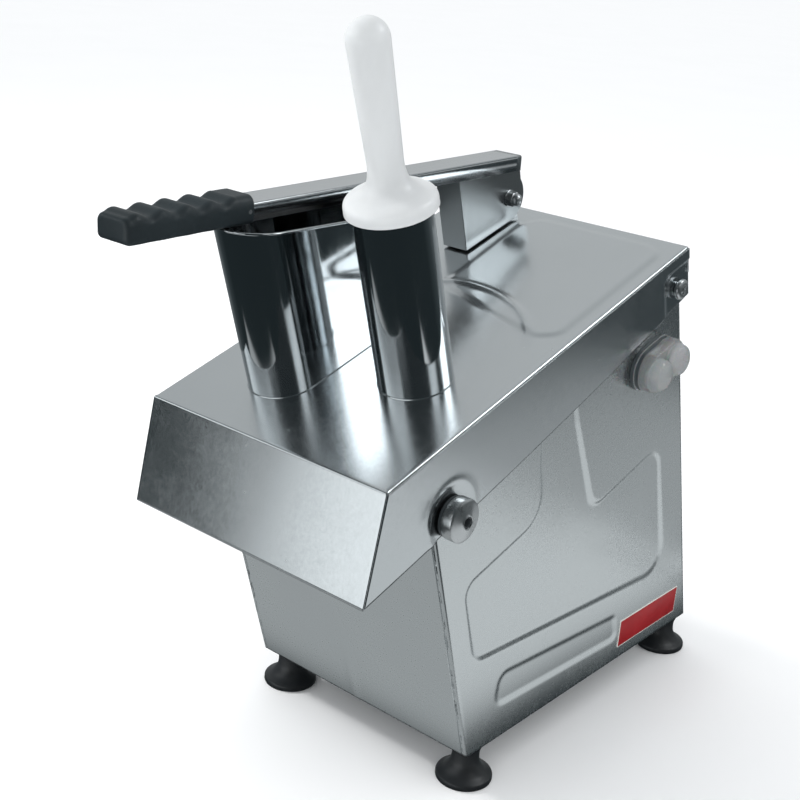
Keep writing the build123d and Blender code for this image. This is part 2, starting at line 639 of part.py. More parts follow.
def make_lid_shell():
    """Lid: flat top, leaning apron and side skirts, folded and welded from one sheet."""
    outer = across(lid_side_outline(), -LID_WIDTH / 2, LID_WIDTH / 2)
    top_edges = [e for e in outer.edges() if abs(e.center().Z) < 0.01]
    front_sides = [e for e in outer.edges() if abs(abs(e.center().X) - LID_WIDTH / 2) < 0.01
                   and abs(e.center().Y + APRON_LEAN / 2) < 1 and abs(e.center().Z + APRON_DEPTH / 2) < 1]
    outer = fillet(top_edges + front_sides, LID_FOLD_R)
    inner = across(lid_side_outline(SHEET, drop=30), -SKIRT_INNER_X, SKIRT_INNER_X)
    shell = outer - inner
    rear_low = block((-SKIRT_INNER_X, SKIRT_INNER_X), (LID_LENGTH - 5, LID_LENGTH + 5), (-100, -LIP_DEPTH))
    shell -= rear_low
    shell -= extrude(Pos(0, 0, -5) * hopper_outline(), 10)
    shell -= post(TUBE_X, TUBE_V, -5, TUBE_RADIUS, 10)
    notch = block((100, 130), (KNOB_V - 7, KNOB_V + 7), (-90, KNOB_N))
    shell -= notch
    shell -= pin(100, KNOB_V, KNOB_N, 7, 30)
    for side in (-1, 1):
        shell -= pin(side * LID_WIDTH / 2 - 15, HINGE_V, HINGE_N, HINGE_BOLT_R + RUNNING_FIT, 30)
    return deck(shell)


def hopper_rim_cut():
    """Everything above the hopper's level rim, in the upright frame."""
    rim_v = DISC_V - HOPPER_HALF_STRAIGHT - 16
    level = rim_v * SIN_T + HOPPER_RIM_N * COS_T
    return Pos(0, 200, level) * Box(600, 900, 300, align=BASE)


def make_large_hopper():
    """Large hopper with its level rim, square to the lid."""
    wall = extrude(hopper_outline() - hopper_outline(-SHEET), 170)
    return deck(Pos(0, 0, INLET_LOW_N) * wall) - hopper_rim_cut()


def make_feed_tube():
    """Round tube for long vegetables."""
    return deck(tube(TUBE_X, TUBE_V, INLET_LOW_N, TUBE_RADIUS, TUBE_RADIUS - SHEET, TUBE_TOP_N - INLET_LOW_N))


def make_lever_lug():
    """Solid lug on the lid that carries the lever's pivot bolt."""
    outline = Polyline((PIVOT_V - 14, 0), (PIVOT_V - 11, PIVOT_N))
    outline += ThreePointArc((PIVOT_V - 11, PIVOT_N), (PIVOT_V, PIVOT_N + 11), (PIVOT_V + 11, PIVOT_N))
    outline += Polyline((PIVOT_V + 11, PIVOT_N), (PIVOT_V + 14, 0), (PIVOT_V - 14, 0))
    lug = across(make_face(outline), ARM_X - LUG_HALF, ARM_X + LUG_HALF)
    lug -= pin(ARM_X - 50, PIVOT_V, PIVOT_N, PIVOT_R + RUNNING_FIT, 100)
    return deck(lug)


def make_interlock_magnet():
    """Coded magnet under the lid's rear, over the safety switch."""
    magnet = block((70, 96), (310, 326), (-SHEET - 7, -SHEET))
    return deck(fillet(magnet.edges().filter_by(Axis.Z), 2))


def make_interlock_switch():
    """Safety switch on the deck that stops the motor when the lid is opened."""
    body = block((70, 96), (308, 328), (CHAMBER_FLOOR_N, -14))
    return deck(fillet(body.edges().filter_by(Axis.Z), 2))


# ---- lid hinge ----

def make_hinge_bolts():
    """Shoulder bolts through the lid's skirts, with low round heads."""
    bolts = []
    for side in (-1, 1):
        head = side * (LID_WIDTH / 2 + 0.4)
        far = head + side * 5
        thread = sorted((side * (BODY_X - 12), side * BODY_INNER_X))
        shoulder = sorted((side * BODY_INNER_X, head))
        bolt = pin(thread[0], HINGE_V, HINGE_N, HINGE_THREAD_R, thread[1] - thread[0])
        bolt += pin(shoulder[0], HINGE_V, HINGE_N, HINGE_BOLT_R, shoulder[1] - shoulder[0])
        cap = pin(min(head, far), HINGE_V, HINGE_N, 8.5, 5)
        cap = fillet(cap.edges().sort_by(Axis.X)[-1 if side > 0 else 0], 1.6)
        cap -= Pos(far, HINGE_V, HINGE_N) * Rot(0, 90, 0) * extrude(RegularPolygon(3.4, 6), 2.5, both=True)
        bolts.append(deck(bolt + cap))
    return Compound(children=bolts)


def make_hinge_bosses():
    """Blocks inside the body's rear corners that the hinge bolts screw into."""
    bosses = []
    for side in (-1, 1):
        x = sorted((side * BODY_INNER_X, side * (BODY_INNER_X - 12)))
        boss = block(x, (HINGE_V - 10, BODY_REAR_V - SHEET), (HINGE_N - 10, HINGE_N + 10))
        boss -= pin(-BODY_X - 5, HINGE_V, HINGE_N, HINGE_THREAD_R, 2 * BODY_X + 10)
        bosses.append(deck(boss))
    return Compound(children=bosses)


# ---- lid lock ----

def make_knob_boss():
    """Threaded boss behind the wall for the lock knob's stud."""
    boss = pin(BODY_INNER_X - 12, KNOB_V, KNOB_N, 9, 12)
    boss -= pin(0, KNOB_V, KNOB_N, KNOB_STUD_R + RUNNING_FIT, 200)
    return deck(boss)


def make_knob_washer():
    """Dark plastic washer captive under the knob."""
    return deck(ring_x(WASHER_FACE_X, KNOB_V, KNOB_N, 16.2, KNOB_STUD_R + RUNNING_FIT, 3))


def make_lock_knob():
    """Turned lock knob: a drum with a shallow cone and a socket in its face."""
    face = WASHER_FACE_X + 3
    knob = pin(face, KNOB_V, KNOB_N, KNOB_R, 9)
    cone = Pos(face + 9, KNOB_V, KNOB_N) * Rot(0, 90, 0) * Cone(KNOB_R, 8, 3.2, align=BASE)
    knob += cone
    knob -= Pos(face + 6, KNOB_V, KNOB_N) * Rot(0, 90, 0) * extrude(RegularPolygon(4.6, 6), 20)
    knob -= pin(face - 1, KNOB_V, KNOB_N, KNOB_STUD_R, 6)
    return deck(knob)


def make_knob_stud():
    """Stud of the lock knob, running into the boss."""
    start = BODY_INNER_X - 6
    return deck(pin(start, KNOB_V, KNOB_N, KNOB_STUD_R, WASHER_FACE_X + 8 - start))


# ---- lever with the pusher ----

def arm_top(v):
    return ARM_TOP_N + (ARM_REAR_V - v) * ARM_RISE


def arm_band(v_front, v_rear, up, down):
    """A band along the lever between two distances square to its top face."""
    def at(v, drop):
        return (v, arm_top(v) - drop / math.cos(math.radians(ARM_SLOPE)))
    return polygon([at(v_front, -up), at(v_rear, -up), at(v_rear, down), at(v_front, down)])


def make_lever_arm():
    """Channel-section lever arm, open underneath."""
    band = arm_band(GRIP_FRONT_V + 8, ARM_REAR_V, 0, ARM_HEIGHT)
    arm = across(band, ARM_X - ARM_WIDTH / 2, ARM_X + ARM_WIDTH / 2)
    top_folds = [e for e in arm.edges() if abs(abs(e.center().X - ARM_X) - ARM_WIDTH / 2) < 0.01
                 and abs(e.center().Z - arm_top(e.center().Y)) < 0.5]
    arm = fillet(top_folds, 2.0)
    hollow = arm_band(GRIP_FRONT_V, ARM_REAR_V - SHEET, -SHEET, ARM_HEIGHT + 10)
    arm -= across(hollow, ARM_X - ARM_INNER, ARM_X + ARM_INNER)
    return deck(arm)


def make_lever_cheeks():
    """Folded box under the arm: a front wall and two cheeks that turn on the pivot bolt."""
    web_n = SHEET / math.cos(math.radians(ARM_SLOPE))
    rear_v = ARM_REAR_V - SHEET - 0.1
    rear_n = PIVOT_N + math.sqrt(CHEEK_R ** 2 - (rear_v - PIVOT_V) ** 2)
    low = (PIVOT_V, PIVOT_N - CHEEK_R)
    corner = math.radians(-45)
    outline = Polyline(low, (CHEEK_FRONT_V, low[1]), (CHEEK_FRONT_V, arm_top(CHEEK_FRONT_V) - web_n),
                       (rear_v, arm_top(rear_v) - web_n), (rear_v, rear_n))
    bend = (PIVOT_V + CHEEK_R * math.cos(corner), PIVOT_N + CHEEK_R * math.sin(corner))
    outline += ThreePointArc((rear_v, rear_n), bend, low)
    box = across(make_face(outline), ARM_X - CHEEK_OUTER, ARM_X + CHEEK_OUTER)
    hollow_x = (ARM_X - CHEEK_OUTER + SHEET, ARM_X + CHEEK_OUTER - SHEET)
    box -= block(hollow_x, (CHEEK_FRONT_V + SHEET, 500), (-50, 200))
    box -= pin(ARM_X - 50, PIVOT_V, PIVOT_N, PIVOT_R, 100)
    return deck(box)


def make_pivot_bolt():
    """Lever pivot bolt with its head on the far cheek."""
    left = ARM_X - CHEEK_OUTER
    right = ARM_X + CHEEK_OUTER
    bolt = pin(left, PIVOT_V, PIVOT_N, PIVOT_R, right - left + 7)
    bolt += pin(left - 5, PIVOT_V, PIVOT_N, 7, 5)
    return deck(bolt)


def make_pivot_nut():
    """Washer and domed nut on the near cheek."""
    right = ARM_X + CHEEK_OUTER
    nut = pin(right, PIVOT_V, PIVOT_N, 7.6, 1.4)
    nut += Pos(right + 1.4, PIVOT_V, PIVOT_N) * Rot(0, 90, 0) * extrude(RegularPolygon(6.6, 6), 6)
    nut += Pos(right + 7.4, PIVOT_V, PIVOT_N) * Sphere(5.4)
    nut -= pin(right - 1, PIVOT_V, PIVOT_N, PIVOT_R, 8)
    return deck(nut)


def make_lever_grip():
    """Moulded grip with finger waves across its top, drawn along the arm's top face."""
    length = (GRIP_REAR_V - GRIP_FRONT_V) / math.cos(math.radians(ARM_SLOPE))
    quarter = GRIP_PITCH / 4
    middle = GRIP_CREST - GRIP_WAVE / 2
    outline = ThreePointArc((0, -1.5), (1.9, 2.4), (quarter, middle))
    for wave in range(GRIP_WAVES - 1):
        y = quarter + GRIP_PITCH * wave
        half_way = (y + 2 * quarter, middle)
        outline += ThreePointArc((y, middle), (y + quarter, GRIP_CREST), half_way)
        valley = (y + 3 * quarter, GRIP_CREST - GRIP_WAVE)
        outline += ThreePointArc(half_way, valley, (y + 4 * quarter, middle))
    y = quarter + GRIP_PITCH * (GRIP_WAVES - 1)
    crest_r = (quarter ** 2 + (GRIP_WAVE / 2) ** 2) / GRIP_WAVE
    rise = (y + quarter / 2, GRIP_CREST - crest_r + math.sqrt(crest_r ** 2 - quarter ** 2 / 4))
    outline += ThreePointArc((y, middle), rise, (y + quarter, GRIP_CREST))
    outline += Polyline((y + quarter, GRIP_CREST), (length - 2, GRIP_CREST), (length, GRIP_CREST - 2),
                        (length, -GRIP_UNDER), (2, -GRIP_UNDER), (0, -GRIP_UNDER + 2), (0, -1.5))
    grip = across(make_face(outline), -GRIP_WIDTH / 2, GRIP_WIDTH / 2)
    grip -= block((-ARM_WIDTH / 2, ARM_WIDTH / 2), (8, length + 10), (-ARM_HEIGHT, 0))
    grip = Pos(ARM_X, GRIP_FRONT_V, arm_top(GRIP_FRONT_V)) * Rot(-ARM_SLOPE, 0, 0) * grip
    grip -= pin(ARM_X - 40, *grip_pin_place(), GRIP_PIN_R, 80)
    return deck(grip)


def grip_pin_place():
    v = GRIP_REAR_V - 6
    return v, arm_top(v) - 6


def make_grip_pin():
    """Cross pin that locks the grip on the arm: one short pin in each side wall."""
    pins = []
    v, n = grip_pin_place()
    for side in (-1, 1):
        start = side * ARM_WIDTH / 2
        end = side * (GRIP_WIDTH / 2 + 0.3)
        pins.append(deck(pin(ARM_X + min(start, end), v, n, GRIP_PIN_R, abs(end - start))))
    return Compound(children=pins)


def make_pusher_plate():
    """Pusher plate that fills the hopper's plan, shorter at the rear where it swings."""
    plan = hopper_outline(-SHEET - PLATE_CLEAR)
    plate = extrude(plan & (Pos(0, -PLATE_SWING) * plan), PLATE_THICKNESS)
    plate = fillet(plate.faces().sort_by(Axis.Z)[-1].outer_wire().edges(), 2.0)
    return deck(Pos(0, 0, PLATE_LOW_N) * plate)


def make_pusher_post():
    """Folded post between the lever arm and the pusher plate."""
    web_n = SHEET / math.cos(math.radians(ARM_SLOPE))
    low = PLATE_LOW_N + PLATE_THICKNESS
    front, rear = POST_V
    crown = [(rear, arm_top(rear) - web_n), (front, arm_top(front) - web_n)]
    outline = polygon([(front, low), (rear, low)] + crown)
    solid = across(outline, ARM_X - POST_HALF, ARM_X + POST_HALF)
    solid -= block((ARM_X - POST_HALF + 2, ARM_X + POST_HALF - 2), (front + 2, rear - 2), (low - 1, low + 90))
    return deck(solid)


# ---- pestle ----

def make_pestle():
    """Moulded pestle: tapered handle, flange that stops on the tube and a plug below."""
    rim = TUBE_TOP_N + 0.2
    plug_r = TUBE_RADIUS - SHEET - 0.8
    top = rim + 136.7
    outline = Polyline((0, -4), (plug_r - 2, -4), (plug_r, -2), (plug_r, rim), (33, rim), (34, rim + 1),
                       (34, rim + 7))
    outline += ThreePointArc((34, rim + 7), (32.6, rim + 10.2), (29, rim + 12))
    outline += Spline((29, rim + 12), (18, rim + 18), (12.9, rim + 34), tangents=[(-1, 0.35), (0.05, 1)])
    round_r = 15.3
    outline += Line((12.9, rim + 34), (round_r, top - round_r))
    half_way = round_r * math.sin(math.pi / 4)
    outline += ThreePointArc((round_r, top - round_r), (half_way, top - round_r + half_way), (0, top))
    outline += Line((0, top), (0, -4))
    body = revolve(Plane.XZ * make_face(outline), Axis.Z)
    return deck(Pos(TUBE_X, TUBE_V, 0) * body)


# ---- outside details ----

def make_cable_gland():
    """Cord inlet in the rear wall: a moulded gland with a hexagon and a domed nut."""
    axis = Pos(GLAND_X, BODY_REAR_V, GLAND_N) * Rot(-90, 0, 0)
    gland = axis * extrude(RegularPolygon(14, 6), 5)
    gland += axis * Pos(0, 0, 5) * Cone(12, 8, 9, align=BASE)
    gland += axis * Pos(0, 0, -8) * Cylinder(GLAND_R, 8, align=BASE)
    gland -= axis * Pos(0, 0, -9) * Cylinder(4.0, 30, align=BASE)
    return deck(gland)


def make_label_plate():
    """Plain plate low on the right side, level with the floor."""
    outline = Pos(LABEL_V, LABEL_N) * Rot(0, 0, -TILT) * RectangleRounded(LABEL_LENGTH, LABEL_HEIGHT, 1.0)
    return deck(across(outline, BODY_X, BODY_X + 0.8))


# ---- assembly ----

PARTS = {
    "body_wrap": make_body_wrap(),
    "rear_cover": make_rear_cover(),
    "rear_cover_screws": make_rear_screws(),
    "bottom_plate": make_bottom_plate(),
    "foot_screws": make_foot_screws(),
    "cutting_chamber": make_cutting_chamber(),
    "shaft_seal": make_shaft_seal(),
    "deck_plate": make_deck_plate(),
    "bearing_housing": make_bearing_housing(),
    "shaft_bearings": make_bearings(),
    "drive_shaft": make_drive_shaft(),
    "driven_pulley": belt_pulley(0, DISC_V, BIG_PULLEY_R, SHAFT_R, 6),
    "ejector_plate": make_ejector_plate(),
    "slicing_disc": make_slicing_disc(),
    "disc_blades": make_disc_blades(),
    "disc_nut": make_disc_nut(),
    "motor_casing": make_motor_casing(),
    "motor_stator": make_stator(),
    "motor_shaft": make_motor_shaft(),
    "motor_bearings": make_motor_bearings(),
    "motor_pulley": belt_pulley(0, MOTOR_V, SMALL_PULLEY_R, MOTOR_SHAFT_R, 0),
    "cooling_fan": make_cooling_fan(),
    "motor_plate": make_motor_plate(),
    "motor_studs": make_standoffs(),
    "drive_belt": make_drive_belt(),
    "run_capacitor": make_run_capacitor(),
    "capacitor_clip": make_capacitor_clip(),
    "contactor_box": make_contactor_box(),
    "switch_bezel": make_switch_bezel(),
    "button_boot": make_button_boot(),
    "switch_block": make_switch_block(),
    "start_button": make_button(*switch_centres()[0], 0),
    "stop_button": make_button(*switch_centres()[1], 2),
    "lid_shell": make_lid_shell(),
    "large_hopper": make_large_hopper(),
    "feed_tube": make_feed_tube(),
    "lever_lug": make_lever_lug(),
    "interlock_magnet": make_interlock_magnet(),
    "interlock_switch": make_interlock_switch(),
    "hinge_bolts": make_hinge_bolts(),
    "hinge_bosses": make_hinge_bosses(),
    "knob_boss": make_knob_boss(),
    "knob_washer": make_knob_washer(),
    "lock_knob": make_lock_knob(),
    "knob_stud": make_knob_stud(),
    "lever_arm": make_lever_arm(),
    "lever_cheeks": make_lever_cheeks(),
    "lever_pivot_bolt": make_pivot_bolt(),
    "lever_pivot_nut": make_pivot_nut(),
    "lever_grip": make_lever_grip(),
    "grip_pins": make_grip_pin(),
    "pusher_post": make_pusher_post(),
    "pusher_plate": make_pusher_plate(),
    "pestle": make_pestle(),
    "cable_gland": make_cable_gland(),
    "label_plate": make_label_plate(),
}
for foot_name, (foot_x, foot_y) in zip(("left_front", "left_rear", "right_front", "right_rear"), FEET):
    PARTS["foot_" + foot_name] = make_foot(foot_x, foot_y)


def base_middle():
    """The middle of the underside of the whole machine's bounding box."""
    boxes = [shape.bounding_box() for shape in PARTS.values()]
    low = [min(getattr(box.min, axis) for box in boxes) for axis in "XYZ"]
    high = [max(getattr(box.max, axis) for box in boxes) for axis in "XYZ"]
    return (low[0] + high[0]) / 2, (low[1] + high[1]) / 2, low[2]


ORIGIN = base_middle()

if __name__ == "__main__":
    os.makedirs("parts", exist_ok=True)
    to_origin = Pos(-ORIGIN[0], -ORIGIN[1], -ORIGIN[2])
    for name, shape in PARTS.items():
        export_step(to_origin * shape, f"parts/{name}.step")
    print("origin", [round(value, 3) for value in ORIGIN], "nodes", len(PARTS))
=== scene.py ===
import json
import math

import bmesh
import bpy
import numpy as np
from mathutils import Matrix, Vector


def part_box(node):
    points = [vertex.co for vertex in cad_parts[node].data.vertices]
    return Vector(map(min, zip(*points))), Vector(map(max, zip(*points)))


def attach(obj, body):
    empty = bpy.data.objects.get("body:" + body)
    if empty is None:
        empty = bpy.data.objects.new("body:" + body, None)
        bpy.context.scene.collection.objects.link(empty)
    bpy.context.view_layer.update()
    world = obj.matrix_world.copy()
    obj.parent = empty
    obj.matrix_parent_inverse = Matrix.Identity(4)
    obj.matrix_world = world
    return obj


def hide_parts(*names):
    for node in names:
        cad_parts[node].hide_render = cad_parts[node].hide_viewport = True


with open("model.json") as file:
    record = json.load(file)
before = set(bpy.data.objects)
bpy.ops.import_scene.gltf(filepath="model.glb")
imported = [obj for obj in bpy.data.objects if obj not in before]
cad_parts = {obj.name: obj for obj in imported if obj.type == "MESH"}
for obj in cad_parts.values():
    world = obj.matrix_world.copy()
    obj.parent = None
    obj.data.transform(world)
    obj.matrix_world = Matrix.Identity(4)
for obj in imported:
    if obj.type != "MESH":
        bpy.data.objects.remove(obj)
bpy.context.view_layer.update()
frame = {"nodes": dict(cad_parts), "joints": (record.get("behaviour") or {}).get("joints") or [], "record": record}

# Lengths below are in millimetres of the deck frame: X right, V back along the lid, N up and
# square to the lid, with the origin in the middle of the lid's front top edge. DECK turns them
# into metres of the row frame. LEVEL does the same for upright millimetres from that origin.
MM = 0.001
TILT = math.radians(17.635)
HINGE_V, HINGE_N = 377.7, -32.6
HINGE = next(joint for joint in frame["joints"] if joint["name"] == "lid_hinge")["pos_m"]
TURN = Matrix.Rotation(TILT, 4, "X")
ORIGIN = Vector(HINGE) - TURN @ Vector((0, HINGE_V, HINGE_N)) * MM
DECK = Matrix.Translation(ORIGIN) @ TURN @ Matrix.Scale(MM, 4)
LEVEL = Matrix.Translation(ORIGIN) @ Matrix.Scale(MM, 4)
SIN_T, COS_T = math.sin(TILT), math.cos(TILT)

# ---- sizes that follow the CAD ----
SHEET = 1.5
LID_HALF, LID_LENGTH = 120.0, 395.9
APRON_DEPTH, APRON_LEAN = 74.6, 40.8
SKIRT_MIDDLE_V, SKIRT_MIDDLE_N, SKIRT_REAR_N = 200.0, -63.5, -46.5
LIP_DEPTH = 24.0
FOLD_R, APRON_EDGE_R, SKIRT_SEAM = 2.4, 0.9, 0.45
BODY_HALF, BODY_FRONT, BODY_REAR = 117.5, 42.8, 382.2
BODY_TOP, BODY_BOTTOM, BODY_FOLD_R = -12.0, -273.2, 3.0
MOUTH_HALF, MOUTH_N = 113.5, -60.0
TUBE_X, TUBE_V, TUBE_R, TUBE_TOP = 46.0, 120.0, 29.25, 141.5
INLET_LOW, WELD_R = -6.0, 0.55
HOPPER_FLAT, HOPPER_CORNER, HOPPER_ROUND = -16.5, 29.0, 110.0
HOPPER_V, HOPPER_HALF, HOPPER_RIM = 124.0, 53.0, 137.0
KNOB_V, KNOB_N, KNOB_R = 60.0, -60.5, 17.0
PIVOT_V, PIVOT_N, CHEEK_R = 365.0, 24.0, 22.0
CHEEK_FRONT, CHEEK_HALF = 299.6, 13.0
ARM_X, ARM_HALF, ARM_HEIGHT = -57.0, 15.0, 13.5
ARM_SLOPE = math.radians(16.36)
ARM_TOP, ARM_REAR = 57.0, 386.0
GRIP_FRONT, GRIP_REAR = -38.5, 71.5
SWITCH_V, SWITCH_N, SWITCH_LONG, SWITCH_HIGH = 332.0, -81.0, 62.0, 38.0
BOOT_FRONT, DOME_TOP = 135.0, 144.3
LABEL_V, LABEL_N, LABEL_LONG, LABEL_HIGH = 316.5, -360.0, 105.0, 28.0
FOOT_HEIGHT = 35.0


def arm_top(v):
    """Height of the arm's top face over the deck."""
    return ARM_TOP + (ARM_REAR - v) * math.tan(ARM_SLOPE)


# ---- placing ----

def to_right(x, v, n):
    """Sets something turned about Z at a point of the deck frame, so that it points to the right."""
    return Matrix.Translation((x, v, n)) @ Matrix.Rotation(math.pi / 2, 4, "Y")


def on_arm(v, n):
    """Places something drawn along Y, so that it lies along the arm's slope."""
    return DECK @ Matrix.Translation((ARM_X, v, n)) @ Matrix.Rotation(-ARM_SLOPE, 4, "X")


# ---- mesh helpers ----

def add_piece(name, verts, faces, material, body, slot, place=DECK, sharp=40, replaces=()):
    """A mesh given in millimetres, set in place, finished and riding on its body."""
    mesh = bpy.data.meshes.new(name)
    mesh.from_pydata([place @ Vector(p) for p in verts], [], faces)
    mesh.validate()
    clean = bmesh.new()
    clean.from_mesh(mesh)
    bmesh.ops.remove_doubles(clean, verts=clean.verts, dist=2e-6)
    bmesh.ops.recalc_face_normals(clean, faces=clean.faces)
    clean.to_mesh(mesh)
    clean.free()
    mesh.shade_smooth()
    mesh.set_sharp_from_angle(angle=math.radians(sharp))
    mesh.materials.append(material)
    piece = bpy.data.objects.new(name, mesh)
    bpy.context.scene.collection.objects.link(piece)
    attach(piece, body)
    if replaces:
        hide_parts(*replaces)
    return piece


def grid(rows, close_rows=False, close_columns=False, cap=False):
    """Vertices and faces of a grid of points. cap closes the first and the last row."""
    verts = [tuple(p) for row in rows for p in row]
    wide = len(rows[0])
    tall = len(rows)
    faces = []
    for i in range(tall if close_rows else tall - 1):
        for j in range(wide if close_columns else wide - 1):
            k = (i + 1) % tall
            m = (j + 1) % wide
            faces.append((i * wide + j, i * wide + m, k * wide + m, k * wide + j))
    if cap:
        faces.append(tuple(range(wide)))
        faces.append(tuple((tall - 1) * wide + j for j in range(wide)))
    return verts, faces


def stack(rings):
    """A solid through rings of points, closed at both ends."""
    return grid(rings, close_columns=True, cap=True)


def merge(*parts):
    """Several (verts, faces) pairs as one."""
    verts, faces = [], []
    for part_verts, part_faces in parts:
        base = len(verts)
        verts += part_verts
        faces += [tuple(i + base for i in face) for face in part_faces]
    return verts, faces


def moved(part, matrix):
    return [tuple(matrix @ Vector(p)) for p in part[0]], part[1]


def lathe(profile, steps=96):
    """Turns a (radius, height) profile about Z. A profile that ends on the axis is closed."""
    angles = [2 * math.pi * k / steps for k in range(steps)]
    rings = []
    for radius, height in profile:
        radius = max(radius, 1e-4)
        rings.append([(radius * math.cos(a), radius * math.sin(a), height) for a in angles])
    return stack(rings)


def rounded(points, radii, steps=6, closed=True):
    """A 2-D outline with each corner replaced by an arc of its radius."""
    out = []
    count = len(points)
    for i, point in enumerate(points):
        here = Vector(point)
        radius = radii[i] if isinstance(radii, (list, tuple)) else radii
        if radius <= 0 or (not closed and i in (0, count - 1)):
            out.append(tuple(here))
            continue
        back = (Vector(points[i - 1]) - here).normalized()
        ahead = (Vector(points[(i + 1) % count]) - here).normalized()
        half = math.acos(max(-1, min(1, back.dot(ahead)))) / 2
        reach = radius / math.tan(half)
        middle = here + (back + ahead).normalized() * radius / math.sin(half)
        start = here + back * reach - middle
        end = here + ahead * reach - middle
        turn = start.angle_signed(end) if start.length else 0
        for k in range(steps + 1):
            spun = Matrix.Rotation(-turn * k / steps, 2) @ start
            out.append(tuple(middle + spun))
    return out


def arc(centre, radius, start, end, steps):
    """Points of a circle's arc, angles in degrees."""
    out = []
    for k in range(steps + 1):
        a = math.radians(start + (end - start) * k / steps)
        out.append((centre[0] + radius * math.cos(a), centre[1] + radius * math.sin(a)))
    return out


def rectangle(a_low, a_high, b_low, b_high):
    """The four corners of a rectangle, in order."""
    return [(a_low, b_low), (a_high, b_low), (a_high, b_high), (a_low, b_high)]


def signed_distance(outline, a, b):
    """Distance of each (a, b) from a closed outline, positive inside."""
    best = np.full(a.shape, 1e9)
    inside = np.zeros(a.shape, bool)
    for (x0, y0), (x1, y1) in zip(outline, outline[1:] + outline[:1]):
        dx, dy = x1 - x0, y1 - y0
        long = dx * dx + dy * dy
        if long < 1e-12:
            continue
        t = np.clip(((a - x0) * dx + (b - y0) * dy) / long, 0, 1)
        best = np.minimum(best, np.hypot(a - x0 - t * dx, b - y0 - t * dy))
        crosses = (y0 > b) != (y1 > b)
        with np.errstate(divide="ignore", invalid="ignore"):
            at = x0 + (b - y0) * dx / (dy if dy else 1e-12)
        inside ^= crosses & (a < at)
    return np.where(inside, best, -best)


def smooth_step(value, low, high):
    """0 below low, 1 above high, and an S-shaped rise between them."""
    t = np.clip((value - low) / (high - low), 0, 1)
    return t * t * (3 - 2 * t)


def face_out(piece, look):
    """Flips a sheet whose faces don't look the way that look(face) measures."""
    if sum(look(face) * face.area for face in piece.data.polygons) < 0:
        piece.data.flip_normals()


def solidify(piece, even=True):
    """Gives a surface the sheet's thickness, inward from its faces."""
    modifier = piece.modifiers.new("sheet", "SOLIDIFY")
    modifier.thickness = SHEET * MM
    modifier.offset = -1.0
    modifier.use_even_offset = even


def bevel(piece, width, segments=2):
    """Rounds a piece's sharp edges."""
    modifier = piece.modifiers.new("edges", "BEVEL")
    modifier.width = width * MM
    modifier.segments = segments
    modifier.limit_method = "ANGLE"
    modifier.angle_limit = math.radians(35)


def apply_modifiers(piece):
    """Bakes a piece's modifiers into its mesh."""
    graph = bpy.context.evaluated_depsgraph_get()
    bpy.context.view_layer.update()
    mesh = bpy.data.meshes.new_from_object(piece.evaluated_get(graph), depsgraph=graph)
    piece.modifiers.clear()
    piece.data = mesh


def cut(piece, *cutters):
    """Cuts solids, given as (verts, faces) in millimetres of the deck frame, out of a piece."""
    tools = []
    for number, (verts, faces) in enumerate(cutters):
        mesh = bpy.data.meshes.new(f"cutter{number}")
        mesh.from_pydata([DECK @ Vector(p) for p in verts], [], faces)
        fix = bmesh.new()
        fix.from_mesh(mesh)
        bmesh.ops.recalc_face_normals(fix, faces=fix.faces)
        fix.to_mesh(mesh)
        fix.free()
        tool = bpy.data.objects.new(f"cutter{number}", mesh)
        bpy.context.scene.collection.objects.link(tool)
        tools.append(tool)
        modifier = piece.modifiers.new("cut", "BOOLEAN")
        modifier.operation = "DIFFERENCE"
        modifier.solver = "EXACT"
        modifier.object = tool
    apply_modifiers(piece)
    for tool in tools:
        bpy.data.objects.remove(tool)


def prism(outline, low, high):
    """A straight prism on a closed (x, v) outline."""
    return stack([[(x, v, n) for x, v in outline] for n in (low, high)])


# ---- materials ----

